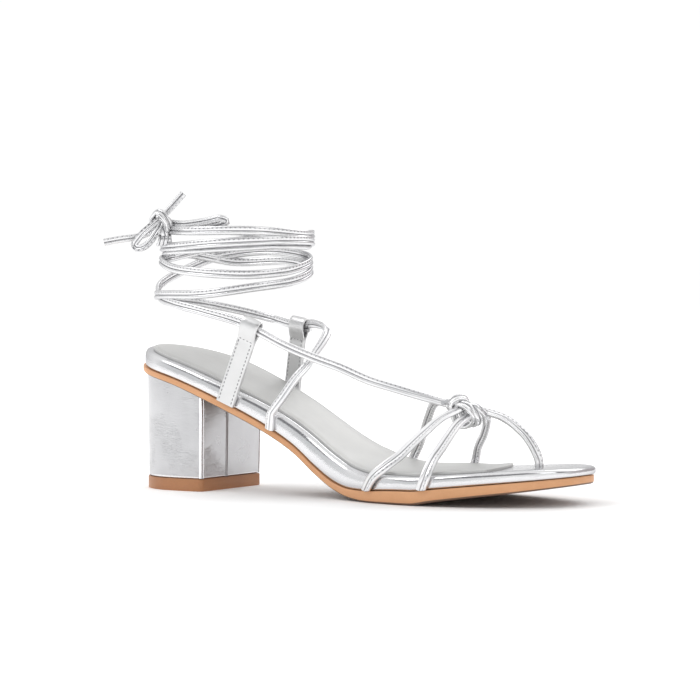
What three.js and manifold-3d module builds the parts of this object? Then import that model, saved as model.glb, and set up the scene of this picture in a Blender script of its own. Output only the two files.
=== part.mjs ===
// A right-foot heeled sandal that ties round the ankle, in millimetres.
// X runs from the heel to the toe, Z is up, and the lateral (little-toe) side is at -Y.
// A foil-wrapped footbed on a tan outsole and a square block heel carries four knotted vamp
// straps with a toe thong, two stitched loops, and one pair of flat ties wound round the ankle.

import * as THREE from 'three';
import { mergeVertices } from 'three/addons/utils/BufferGeometryUtils.js';
import Module from 'manifold-3d';

const wasm = await Module();
wasm.setup();

// Sizes
const LENGTH = 240;             // footbed, heel back to toe tip
const BALL_WIDTH = 83.6;         // footbed at the ball
const HEEL_HEIGHT = 59.0;        // floor to the underside of the seat, at the back
const TOE_SPRING = 9.7;          // floor to the underside at the toe tip
const TOE_SWING = 3.8;           // toe tip over to the big-toe side

const OUTSOLE_THICKNESS = 6.4;   // at the ball, where it is thickest
const OUTSOLE_LEDGE = 1.0;       // how far the outsole stands out past the footbed, at most
const SOLE_ROUND = 2.2;          // rounding of its lower edge, at the ball
const FOOTBED_THICKNESS = 10.9;  // board and cushion together, at the waist
const RIM_WIDTH = 4;             // rolled edge of the footbed, from its side to its flat top
const SOCK_THICKNESS = 0.9;
const SOCK_MARGIN = 4.2;         // footbed rim left bare round the sock lining
const SOCK_LATERAL = 207.5;      // heel back to the sock lining's front corner, lateral side
const SOCK_MEDIAL = 184.5;       // and on the medial side, where it stops shorter
const SOCK_BULGE = 3.3;          // how far its front edge bows forward between the corners
const SOCK_ROUND = 0.4;          // rounding of its upper edge

const HEEL_BREAST = 46.4;        // heel back to the flat front of the block
const HEEL_INSET_BACK = 1.1;     // block inside the footbed's outline, at the back
const HEEL_INSET_FRONT = 3.0;    // and at its front corners
const HEEL_CORNER = 2.6;         // radius of the two front corners
const HEEL_TAPER = 0.7;          // how far the block draws in on its way down
const TIP_THICKNESS = 6.0;
const TIP_LEDGE = 0.4;           // how far the tip stands out past the block
const TIP_ROUND = 0.5;           // rounding of the tip's lower edge

const STRAP_WIDTH = 4.4;
const STRAP_THICKNESS = 2.3;
const STRAP_EDGE = 0.6;          // rounding of a strap's edges
const STRAP_STEP = 6;            // longest facet along a strap
const FOOT_TRIM = 2.5;           // length cut from a strap's foot to fit the outsole's ledge
const THONG_SEAT = 2.4;          // depth of the slot that holds the thong

const KNOT_HEIGHT = 27.4;        // centre of the vamp knot over the footbed below it
const KNOT_SIZE = 10;            // half the length of the vamp knot
const KNOT_TURN = 32;            // degrees that the knot lies turned out from the shoe's line

const LOOP_WIDTH = 9.8;
const LOOP_LEATHER = 1.1;        // one layer of the folded loop
const LOOP_TUNNEL = 7.6;         // clear height of the tunnel at its top
const LOOP_HEIGHT = 33.2;        // top of the loops over the footbed beside them

const ANKLE_LONG = 79;           // ties round the ankle, heel to instep
const ANKLE_WIDE = 66;
const ANKLE_CENTRE = 48;         // heel back to the middle of the ankle
const ANKLE_HEIGHT = 42.4;       // topmost turn over the top of the loops

const BOW_SIZE = 8;              // half the size of the knot behind the ankle
const BOW_COIL_WIDTH = 7;        // the coil under that knot, along its axis
const BOW_REACH = 18;            // length of the front bow loop
const END_UP_LENGTH = 17;        // length of the tie's end that stands up from the bow
const END_DOWN_LENGTH = 30;      // and of the one that hangs forward
const CORD_WIDTH = 3;            // bow loops and ends, across their round section

const GAP = 0.3;                 // between two pieces that touch
const REST = 24;                 // heel back to the middle of the heel tip, the part's origin

// The last
// Plan of the footbed, a row for each section: how far along as a share of LENGTH,
// and the half width to each side as a share of BALL_WIDTH.
const PLAN = [
  { at: 0.000, lateral: 0.000, medial: 0.000 },
  { at: 0.006, lateral: 0.104, medial: 0.104 },
  { at: 0.022, lateral: 0.194, medial: 0.193 },
  { at: 0.050, lateral: 0.273, medial: 0.274 },
  { at: 0.090, lateral: 0.329, medial: 0.331 },
  { at: 0.160, lateral: 0.352, medial: 0.356 },
  { at: 0.250, lateral: 0.341, medial: 0.335 },
  { at: 0.340, lateral: 0.306, medial: 0.284 },
  { at: 0.440, lateral: 0.288, medial: 0.266 },
  { at: 0.540, lateral: 0.362, medial: 0.353 },
  { at: 0.630, lateral: 0.448, medial: 0.476 },
  { at: 0.700, lateral: 0.478, medial: 0.522 },
  { at: 0.760, lateral: 0.469, medial: 0.503 },
  { at: 0.840, lateral: 0.424, medial: 0.444 },
  { at: 0.910, lateral: 0.341, medial: 0.372 },
  { at: 0.960, lateral: 0.242, medial: 0.308 },
  { at: 0.985, lateral: 0.154, medial: 0.242 },
  { at: 0.997, lateral: 0.062, medial: 0.152 },
  { at: 1.000, lateral: -TOE_SWING / BALL_WIDTH, medial: TOE_SWING / BALL_WIDTH },
];

// Side profile: height of the underside as shares of HEEL_HEIGHT and TOE_SPRING, the thickness
// of outsole and footbed as shares of their named thicknesses, and the outsole's ledge as a share
// of OUTSOLE_LEDGE, less than nothing at the toe where it draws in under the footbed.
const PROFILE = [
  { at: 0.00, rise: 1.000, spring: 0.00, outsole: 0.48, ledge: 1.00, footbed: 0.78 },
  { at: 0.04, rise: 0.963, spring: 0.00, outsole: 0.46, ledge: 0.90, footbed: 0.78 },
  { at: 0.12, rise: 0.890, spring: 0.00, outsole: 0.47, ledge: 0.65, footbed: 0.72 },
  { at: 0.22, rise: 0.739, spring: 0.00, outsole: 0.55, ledge: 0.55, footbed: 0.74 },
  { at: 0.34, rise: 0.512, spring: 0.00, outsole: 0.53, ledge: 0.45, footbed: 0.87 },
  { at: 0.40, rise: 0.368, spring: 0.00, outsole: 0.51, ledge: 0.40, footbed: 0.96 },
  { at: 0.46, rise: 0.185, spring: 0.00, outsole: 0.52, ledge: 0.40, footbed: 1.14 },
  { at: 0.51, rise: 0.078, spring: 0.00, outsole: 0.54, ledge: 0.45, footbed: 1.09 },
  { at: 0.56, rise: 0.018, spring: 0.00, outsole: 0.67, ledge: 0.60, footbed: 0.89 },
  { at: 0.61, rise: 0.000, spring: 0.00, outsole: 0.84, ledge: 0.85, footbed: 0.71 },
  { at: 0.71, rise: 0.000, spring: 0.00, outsole: 1.00, ledge: 1.00, footbed: 0.61 },
  { at: 0.76, rise: 0.000, spring: 0.19, outsole: 0.91, ledge: 1.00, footbed: 0.58 },
  { at: 0.84, rise: 0.000, spring: 0.47, outsole: 0.80, ledge: 1.00, footbed: 0.53 },
  { at: 0.92, rise: 0.000, spring: 0.72, outsole: 0.73, ledge: 0.10, footbed: 0.48 },
  { at: 1.00, rise: 0.000, spring: 1.00, outsole: 0.61, ledge: -1.00, footbed: 0.34 },
];

// Monotone cubic through one column of a table, read at a share of LENGTH.
function reading(table, column) {
  const at = table.map((row) => row.at);
  const value = table.map((row) => row[column]);
  const slope = [];
  for (let i = 0; i + 1 < at.length; i += 1) {
    slope.push((value[i + 1] - value[i]) / (at[i + 1] - at[i]));
  }
  const tangent = at.map((_, i) => {
    if (i === 0) return slope[0];
    if (i === at.length - 1) return slope[i - 1];
    if (slope[i - 1] * slope[i] <= 0) return 0;
    return 2 / (1 / slope[i - 1] + 1 / slope[i]);
  });
  return (share) => {
    const s = THREE.MathUtils.clamp(share, at[0], at[at.length - 1]);
    let i = 0;
    while (i + 2 < at.length && s > at[i + 1]) i += 1;
    const h = at[i + 1] - at[i];
    const t = (s - at[i]) / h;
    const a = (1 + 2 * t) * (1 - t) * (1 - t);
    const b = t * (1 - t) * (1 - t);
    const c = t * t * (3 - 2 * t);
    const d = t * t * (t - 1);
    return a * value[i] + b * h * tangent[i] + c * value[i + 1] + d * h * tangent[i + 1];
  };
}

const rise = reading(PROFILE, 'rise');
const spring = reading(PROFILE, 'spring');
const outsoleShare = reading(PROFILE, 'outsole');
const ledgeShare = reading(PROFILE, 'ledge');
const footbedShare = reading(PROFILE, 'footbed');
const underside = (x) => HEEL_HEIGHT * rise(x / LENGTH) + TOE_SPRING * spring(x / LENGTH);
const outsoleTop = (x) => underside(x) + OUTSOLE_THICKNESS * outsoleShare(x / LENGTH);
const footbedBottom = (x) => outsoleTop(x) + GAP;
const footbedTop = (x) => footbedBottom(x) + FOOTBED_THICKNESS * footbedShare(x / LENGTH);
const sockTop = (x) => footbedTop(x) + GAP + SOCK_THICKNESS;

// The plan as pairs of points, lateral and medial, from the heel tip to the toe tip.
// The outline is one closed smooth curve through the table's rows.
const PLAN_STEP = 9;             // longest facet along the plan's edge
const planPoint = (row, side) => new THREE.Vector3(
  row.at * LENGTH,
  (side < 0 ? -row.lateral : row.medial) * BALL_WIDTH,
  0,
);
const planRing = [
  ...PLAN.map((row) => planPoint(row, -1)),
  ...PLAN.slice(1, -1).reverse().map((row) => planPoint(row, 1)),
];
const planCurve = new THREE.CatmullRomCurve3(planRing, true, 'centripetal');
const planMarks = [];
for (let i = 0; i + 1 < PLAN.length; i += 1) {
  const pieces = Math.max(1, Math.round(planRing[i].distanceTo(planRing[i + 1]) / PLAN_STEP));
  for (let k = 0; k < pieces; k += 1) planMarks.push((i + k / pieces) / planRing.length);
}
planMarks.push(0.5);

function planPairs(inset, upTo = Infinity) {
  const marks = planMarks.filter((mark) => planCurve.getPoint(mark).x < upTo);
  return marks.map((mark) => {
    const pair = [mark, (1 - mark) % 1].map((u) => {
      const point = planCurve.getPoint(u);
      const along = planCurve.getTangent(u);
      return new THREE.Vector2(point.x - along.y * inset(point.x), point.y + along.x * inset(point.x));
    });
    return mark === 0 || mark === 0.5 ? [pair[0], pair[0]] : pair;
  });
}

// The plan's edge at a distance along, on one side, with its outward direction.
const EDGE = planPairs(() => 0);
function edgeAt(x, side) {
  const column = side < 0 ? 0 : 1;
  let i = 0;
  while (i + 2 < EDGE.length && EDGE[i + 1][column].x < x) i += 1;
  const a = EDGE[i][column];
  const b = EDGE[i + 1][column];
  const t = (x - a.x) / (b.x - a.x);
  const run = b.clone().sub(a).normalize();
  return {
    point: a.clone().lerp(b, t),
    out: new THREE.Vector2(-side * run.y, side * run.x),
  };
}

// Heights that the straps are measured by
const KNOT_AT = 0.75;            // the vamp knot's place, as a share of LENGTH
const LOOPS_AT = 0.26;           // and the two loops'
const knotHeight = footbedTop(KNOT_AT * LENGTH) + KNOT_HEIGHT;
const loopTop = footbedTop(LOOPS_AT * LENGTH) + LOOP_HEIGHT;
const ankleTop = loopTop + ANKLE_HEIGHT;

// Building solids
function geometryFrom(points, faces) {
  const geometry = new THREE.BufferGeometry();
  const flat = points.flatMap((p) => [p.x, p.y, p.z]);
  geometry.setAttribute('position', new THREE.Float32BufferAttribute(flat, 3));
  geometry.setIndex(faces.flat().filter((_, i, all) => {
    const k = i - (i % 3);
    return all[k] !== all[k + 1] && all[k + 1] !== all[k + 2] && all[k] !== all[k + 2];
  }));
  return geometry;
}

// A plate through layers of one paired outline; each layer has its pairs and its height.
function plate(layers) {
  const points = [];
  const rings = [];
  const sides = [];
  for (const { pairs, height } of layers) {
    const place = (p) => points.push(new THREE.Vector3(p.x, p.y, height(p.x))) - 1;
    const left = pairs.map(([p]) => place(p));
    const right = pairs.map(([p, q], i) => (p === q ? left[i] : place(q)));
    sides.push([left, right]);
    rings.push([...left, ...right.slice().reverse()].filter((v, i, all) => all.indexOf(v) === i));
  }
  const faces = [];
  for (let k = 0; k + 1 < rings.length; k += 1) {
    const [low, high] = [rings[k], rings[k + 1]];
    for (let i = 0; i < low.length; i += 1) {
      const j = (i + 1) % low.length;
      faces.push([low[i], low[j], high[j]], [low[i], high[j], high[i]]);
    }
  }
  const cap = ([left, right], up) => {
    for (let i = 0; i + 1 < left.length; i += 1) {
      const quad = [[left[i], left[i + 1], right[i + 1]], [left[i], right[i + 1], right[i]]];
      faces.push(...quad.map((face) => (up ? face : face.reverse())));
    }
  };
  cap(sides[0], false);
  cap(sides[sides.length - 1], true);
  return geometryFrom(points, faces);
}

// A flat strap with rounded edges, swept along a smooth curve.
// Each stop has a place `p` and a direction `out` that the strap's face looks to.
function strap(stops, { width = STRAP_WIDTH, thickness = STRAP_THICKNESS, grow = 0, closed = false } = {}) {
  const curve = new THREE.CatmullRomCurve3(stops.map((stop) => stop.p), closed, 'centripetal');
  const spans = closed ? stops.length : stops.length - 1;
  const half = width / 2 + grow;
  const deep = thickness / 2 + grow;
  const edge = Math.min(STRAP_EDGE, deep * 0.6);
  const section = [
    [half, -deep + edge], [half, deep - edge], [half - edge, deep], [-half + edge, deep],
    [-half, deep - edge], [-half, -deep + edge], [-half + edge, -deep], [half - edge, -deep],
  ];
  const marks = [];
  for (let i = 0; i < spans; i += 1) {
    const chord = stops[i].p.distanceTo(stops[(i + 1) % stops.length].p);
    const pieces = Math.max(1, Math.round(chord / STRAP_STEP));
    for (let k = 0; k < pieces; k += 1) marks.push((i + k / pieces) / spans);
  }
  if (!closed) marks.push(1);
  const points = [];
  for (const mark of marks) {
    const centre = curve.getPoint(mark);
    const along = curve.getTangent(mark);
    const i = Math.min(Math.floor(mark * spans), spans - 1);
    const out = stops[i].out.clone().lerp(stops[(i + 1) % stops.length].out, mark * spans - i);
    out.addScaledVector(along, -out.dot(along)).normalize();
    const across = out.clone().cross(along);
    for (const [a, b] of section) {
      points.push(centre.clone().addScaledVector(across, a).addScaledVector(out, b));
    }
  }
  const size = section.length;
  const faces = [];
  const last = closed ? marks.length : marks.length - 1;
  for (let k = 0; k < last; k += 1) {
    const next = ((k + 1) % marks.length) * size;
    for (let i = 0; i < size; i += 1) {
      const j = (i + 1) % size;
      faces.push([k * size + i, k * size + j, next + j], [k * size + i, next + j, next + i]);
    }
  }
  if (!closed) {
    const end = (marks.length - 1) * size;
    for (let i = 1; i + 1 < size; i += 1) {
      faces.push([0, i + 1, i], [end, end + i, end + i + 1]);
    }
  }
  return geometryFrom(points, faces);
}

function toSolid(source) {
  const geometry = source.clone();
  geometry.deleteAttribute('normal');
  geometry.deleteAttribute('uv');
  const merged = mergeVertices(geometry, 1e-4);
  const mesh = new wasm.Mesh({
    numProp: 3,
    vertProperties: new Float32Array(merged.attributes.position.array),
    triVerts: new Uint32Array(merged.index.array),
  });
  return new wasm.Manifold(mesh);
}

function fromSolid(solid) {
  const mesh = solid.getMesh();
  const geometry = new THREE.BufferGeometry();
  geometry.setAttribute('position', new THREE.Float32BufferAttribute(mesh.vertProperties, 3));
  geometry.setIndex(Array.from(mesh.triVerts));
  return geometry;
}

const joined = (geometries) => geometries.map(toSolid).reduce((a, b) => a.add(b));

const vector = (x, y, z) => new THREE.Vector3(x, y, z);

// Outsole, footbed and sock lining
// The outsole's lower edge is rounded more where it is thicker, its upper edge only a little.
const outsoleInset = (x) => -OUTSOLE_LEDGE * ledgeShare(x / LENGTH);
const soleRound = (x) => SOLE_ROUND * outsoleShare(x / LENGTH);
const ledgeRound = SOLE_ROUND / 6;
const outsole = plate([
  { pairs: planPairs((x) => outsoleInset(x) + soleRound(x)), height: underside },
  { pairs: planPairs(outsoleInset), height: (x) => underside(x) + soleRound(x) },
  { pairs: planPairs(outsoleInset), height: (x) => outsoleTop(x) - ledgeRound },
  { pairs: planPairs((x) => outsoleInset(x) + ledgeRound), height: outsoleTop },
]);

// The footbed's foil wraps a soft rim: rows go up its side and over its rolled edge, drawn in
// by shares of RIM_WIDTH at shares of the footbed's thickness.
const RIM = [
  { inset: 0.22, share: 0.00 },
  { inset: 0.02, share: 0.10 },
  { inset: 0.00, share: 0.62 },
  { inset: 0.15, share: 0.86 },
  { inset: 0.50, share: 0.97 },
  { inset: 1.00, share: 1.00 },
];
const footbedPlate = plate(RIM.map(({ inset, share }) => ({
  pairs: planPairs(() => inset * RIM_WIDTH),
  height: (x) => THREE.MathUtils.lerp(footbedBottom(x), footbedTop(x), share),
})));

// The sock lining follows the plan inside its margin and ends in a slanting, bowed front edge.
const SOCK_SKEW_FROM = 0.09;     // share of LENGTH where its cross rows begin to slant
const SOCK_ROWS = 22;
const SOCK_FRONT_ROWS = 5;
function sockPairs(inset) {
  const margin = SOCK_MARGIN + inset;
  const from = SOCK_SKEW_FROM * LENGTH;
  const pairs = planPairs(() => margin, from - SOCK_MARGIN);
  const onMargin = (x, side) => {
    const { point, out } = edgeAt(x, side);
    return new THREE.Vector2(point.x - out.x * margin, point.y - out.y * margin);
  };
  for (let k = 0; k <= SOCK_ROWS; k += 1) {
    const share = k / SOCK_ROWS;
    pairs.push([
      onMargin(THREE.MathUtils.lerp(from, SOCK_LATERAL - inset, share), -1),
      onMargin(THREE.MathUtils.lerp(from, SOCK_MEDIAL - inset, share), 1),
    ]);
  }
  const [lateral, medial] = pairs[pairs.length - 1];
  const frontPoint = (share) => {
    const point = lateral.clone().lerp(medial, share);
    point.x += SOCK_BULGE * 4 * share * (1 - share);
    return point;
  };
  for (let k = 1; k <= SOCK_FRONT_ROWS; k += 1) {
    const share = k / SOCK_FRONT_ROWS / 2;
    const pair = [frontPoint(share), frontPoint(1 - share)];
    pairs.push(k === SOCK_FRONT_ROWS ? [pair[0], pair[0]] : pair);
  }
  return pairs;
}
const sockLining = plate([
  { pairs: sockPairs(0), height: (x) => footbedTop(x) + GAP },
  { pairs: sockPairs(0), height: (x) => sockTop(x) - SOCK_ROUND },
  { pairs: sockPairs(SOCK_ROUND), height: sockTop },
]);

// Heel block and tip
// The block follows the seat, then turns two rounded corners into its flat breast.
const CORNER_STEPS = 3;
function heelPairs(inset) {
  const breast = HEEL_BREAST - inset;
  const ease = (x) => THREE.MathUtils.smoothstep(x / HEEL_BREAST, 0, 1);
  const wall = (x) => inset + THREE.MathUtils.lerp(HEEL_INSET_BACK, HEEL_INSET_FRONT, ease(x));
  const turnAt = breast - HEEL_CORNER;
  const pairs = planPairs(wall, HEEL_BREAST - 2 * HEEL_CORNER);
  const walls = [-1, 1].map((side) => edgeAt(turnAt, side).point.y - side * wall(turnAt));
  for (let k = 0; k <= CORNER_STEPS; k += 1) {
    const turn = (k / CORNER_STEPS) * (Math.PI / 2);
    const x = turnAt + HEEL_CORNER * Math.sin(turn);
    const draw = HEEL_CORNER * (1 - Math.cos(turn));
    pairs.push([new THREE.Vector2(x, walls[0] + draw), new THREE.Vector2(x, walls[1] - draw)]);
  }
  return pairs;
}
const heelBlock = plate([
  { pairs: heelPairs(HEEL_TAPER), height: () => TIP_THICKNESS + GAP },
  { pairs: heelPairs(0), height: (x) => underside(x) - GAP },
]);
const heelTip = plate([
  { pairs: heelPairs(HEEL_TAPER - TIP_LEDGE + TIP_ROUND), height: () => 0 },
  { pairs: heelPairs(HEEL_TAPER - TIP_LEDGE), height: () => TIP_ROUND },
  { pairs: heelPairs(HEEL_TAPER - TIP_LEDGE), height: () => TIP_THICKNESS },
]);

// All that lies below the outsole's ledge, with the gap: straps and loops, whose feet are made
// too long by FOOT_TRIM, are cut by it.
const TRIM_REACH = 3 * STRAP_THICKNESS;
const underLedge = toSolid(plate([
  { pairs: planPairs(() => -TRIM_REACH), height: (x) => underside(x) - FOOT_TRIM },
  { pairs: planPairs(() => -TRIM_REACH), height: footbedBottom },
]));

// Vamp straps, thong and knot
// A strap's foot: it stands on the outsole's ledge, close outside the footbed. `ledge` and `rim`
// are its places along the shoe at the two heights, so that it can slant.
function strapFoot({ ledge, rim }, side) {
  return [{ at: ledge, rise: 0 }, { at: rim, rise: 0.86 }].map(({ at, rise }) => {
    const { point, out } = edgeAt(at * LENGTH, side);
    const reach = GAP + STRAP_THICKNESS / 2;
    const x = point.x + out.x * reach;
    const y = point.y + out.y * reach;
    const z = THREE.MathUtils.lerp(footbedBottom(x) - FOOT_TRIM, footbedTop(x), rise);
    return { p: vector(x, y, z), out: vector(out.x, out.y, 0) };
  });
}

// A row of a strap's route: shares of LENGTH and BALL_WIDTH, its height as a share of the way
// from the footbed to a named height, and `lean`, the way its face looks: -1 to the lateral
// side, 1 to the medial, 0 straight up.
const over = (high, x, top) => THREE.MathUtils.lerp(footbedTop(x), top, high);
const overFoot = ({ along, across, high, lean }) => ({
  p: vector(along * LENGTH, across * BALL_WIDTH, over(high, along * LENGTH, knotHeight)),
  out: vector(0.15, lean, 1 - Math.abs(lean)).normalize(),
});

// Places in a knot's own axes, as shares of its size: to its toe end, up, and out to the side.
const turn = THREE.MathUtils.degToRad(KNOT_TURN);
const knotAxes = {
  end: vector(Math.cos(turn), Math.sin(turn), 0),
  up: vector(0, 0, 1),
  side: vector(Math.sin(turn), -Math.cos(turn), 0),
};
const fromKnot = (centre, size, { end, up, side }) => centre.clone()
  .addScaledVector(knotAxes.end, end * size)
  .addScaledVector(knotAxes.up, up * size)
  .addScaledVector(knotAxes.side, side * size);

// A ring of a knot: its faces look away from its own middle.
function knotRing(centre, size, rows) {
  const places = rows.map((row) => fromKnot(centre, size, row));
  const middle = places.reduce((sum, p) => sum.add(p), vector(0, 0, 0)).divideScalar(rows.length);
  return places.map((p) => ({ p, out: p.clone().sub(middle).normalize() }));
}

const knotCentre = vector(KNOT_AT * LENGTH, -0.012 * BALL_WIDTH, knotHeight);
function inKnot(row, facing) {
  const p = fromKnot(knotCentre, KNOT_SIZE, row);
  return { p, out: facing ?? p.clone().sub(knotCentre).normalize() };
}

const LATERAL_FRONT = [
  { along: 0.757, across: -0.431, high: 0.25, lean: -0.90 },
  { along: 0.760, across: -0.359, high: 0.43, lean: -0.82 },
  { along: 0.760, across: -0.275, high: 0.61, lean: -0.68 },
  { along: 0.758, across: -0.155, high: 0.82, lean: -0.45 },
  { along: 0.760, across: -0.040, high: 0.95, lean: -0.20 },
];
const LATERAL_BACK = [
  { along: 0.655, across: -0.437, high: 0.15, lean: -0.85 },
  { along: 0.674, across: -0.377, high: 0.32, lean: -0.70 },
  { along: 0.687, across: -0.305, high: 0.51, lean: -0.55 },
  { along: 0.702, across: -0.225, high: 0.715, lean: -0.40 },
  { along: 0.718, across: -0.150, high: 0.90, lean: -0.25 },
  { along: 0.742, across: -0.060, high: 1.05, lean: -0.10 },
];
const MEDIAL_BACK = [
  { along: 0.567, across: 0.365, high: 0.33, lean: 0.85 },
  { along: 0.587, across: 0.311, high: 0.59, lean: 0.70 },
  { along: 0.613, across: 0.239, high: 0.88, lean: 0.50 },
  { along: 0.642, across: 0.155, high: 1.09, lean: 0.30 },
  { along: 0.681, across: 0.084, high: 1.16, lean: 0.10 },
  { along: 0.725, across: 0.018, high: 1.12, lean: 0.00 },
];
const MEDIAL_FRONT = [
  { along: 0.679, across: 0.478, high: 0.31, lean: 0.85 },
  { along: 0.707, across: 0.395, high: 0.53, lean: 0.70 },
  { along: 0.735, across: 0.287, high: 0.73, lean: 0.50 },
  { along: 0.764, across: 0.144, high: 0.91, lean: 0.20 },
];
const THONG = [
  { along: 0.785, across: 0.048, high: 1.00, lean: 0.00 },
  { along: 0.804, across: 0.090, high: 0.93, lean: 0.00 },
  { along: 0.822, across: 0.120, high: 0.82, lean: 0.00 },
  { along: 0.838, across: 0.141, high: 0.68, lean: 0.00 },
  { along: 0.852, across: 0.151, high: 0.54, lean: 0.00 },
  { along: 0.870, across: 0.160, high: 0.26, lean: 0.00 },
];
// The wraps of the knot, each a row of places in the knot's own axes.
const MAIN_WRAP = [
  { end: -0.54, up: 0.24, side: -0.10 },
  { end: -0.34, up: 0.41, side: 0.22 },
  { end: 0.00, up: 0.27, side: 0.45 },
  { end: 0.24, up: 0.00, side: 0.50 },
  { end: 0.32, up: -0.34, side: 0.38 },
  { end: 0.10, up: -0.63, side: 0.12 },
  { end: -0.24, up: -0.66, side: -0.22 },
  { end: -0.50, up: -0.42, side: -0.42 },
  { end: -0.60, up: -0.05, side: -0.38 },
];
const TIE_EYE = [
  { end: -0.83, up: 0.20, side: 0.10 },
  { end: -0.78, up: 0.49, side: 0.12 },
  { end: -0.49, up: 0.68, side: 0.10 },
  { end: -0.15, up: 0.68, side: 0.00 },
  { end: 0.02, up: 0.46, side: -0.16 },
  { end: -0.16, up: 0.22, side: -0.34 },
  { end: -0.55, up: 0.06, side: -0.22 },
];
const MIDDLE_WRAP = [
  { end: 0.15, up: 0.30, side: 0.30 },
  { end: 0.42, up: 0.02, side: 0.42 },
  { end: 0.53, up: -0.34, side: 0.34 },
  { end: 0.42, up: -0.58, side: 0.00 },
  { end: 0.05, up: -0.40, side: -0.40 },
  { end: -0.20, up: 0.00, side: -0.45 },
  { end: -0.10, up: 0.30, side: -0.10 },
];
const TOE_WRAP = [
  { end: 0.88, up: -0.45, side: -0.30 },
  { end: 0.82, up: -0.10, side: 0.22 },
  { end: 0.62, up: 0.14, side: 0.34 },
  { end: 0.38, up: 0.34, side: 0.18 },
  { end: 0.05, up: 0.36, side: -0.12 },
];

const thongEnd = (() => {
  const x = 0.876 * LENGTH;
  const y = 0.163 * BALL_WIDTH;
  const out = knotAxes.side.clone().add(vector(1, 0, 0)).normalize();
  return [
    { p: vector(x, y, footbedTop(x) + STRAP_WIDTH / 2), out },
    { p: vector(x, y, footbedTop(x) - THONG_SEAT + GAP), out },
  ];
})();
// The thong's flat face looks out to the side, up from it near the knot and less on its way down.
const thongStops = [
  inKnot({ end: 0.30, up: 0.30, side: -0.05 }, vector(0, 0, 1)),
  ...THONG.map((row, i) => {
    const stop = overFoot(row);
    const down = i / (THONG.length - 1);
    const out = knotAxes.up.clone().lerp(knotAxes.side, 0.5 + 0.3 * down).normalize();
    return { p: stop.p, out };
  }),
  ...thongEnd,
];
const lateralBack = [
  ...strapFoot({ ledge: 0.612, rim: 0.632 }, -1),
  ...LATERAL_BACK.map(overFoot),
];
const lateralFront = [
  ...strapFoot({ ledge: 0.742, rim: 0.751 }, -1),
  ...LATERAL_FRONT.map(overFoot),
];
const medialBack = [
  ...strapFoot({ ledge: 0.532, rim: 0.547 }, 1),
  ...MEDIAL_BACK.map(overFoot),
  inKnot({ end: -0.20, up: 0.30, side: 0.05 }, vector(0, 0, 1)),
];
const medialFront = [
  ...strapFoot({ ledge: 0.645, rim: 0.662 }, 1),
  ...MEDIAL_FRONT.map(overFoot),
  ...TOE_WRAP.map((row) => inKnot(row)),
];
const wrap = (rows) => knotRing(knotCentre, KNOT_SIZE, rows);
const vampStraps = (grow) => joined([
  strap(lateralBack, { grow }),
  strap(lateralFront, { grow }),
  strap(medialBack, { grow }),
  strap(medialFront, { grow }),
  strap(thongStops, { grow }),
  strap(wrap(MAIN_WRAP), { grow, closed: true }),
  strap(wrap(TIE_EYE), { grow, closed: true }),
  strap(wrap(MIDDLE_WRAP), { grow, closed: true }),
]);
const upper = vampStraps(0).subtract(underLedge);

// The thong's slot through the top of the footbed.
const thongSlot = strap([thongEnd[0], {
  p: thongEnd[1].p.clone().setZ(thongEnd[1].p.z - GAP),
  out: thongEnd[1].out,
}], { width: STRAP_WIDTH + 2 * GAP, thickness: STRAP_THICKNESS + 2 * GAP });
const footbed = toSolid(footbedPlate).subtract(toSolid(thongSlot));

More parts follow.
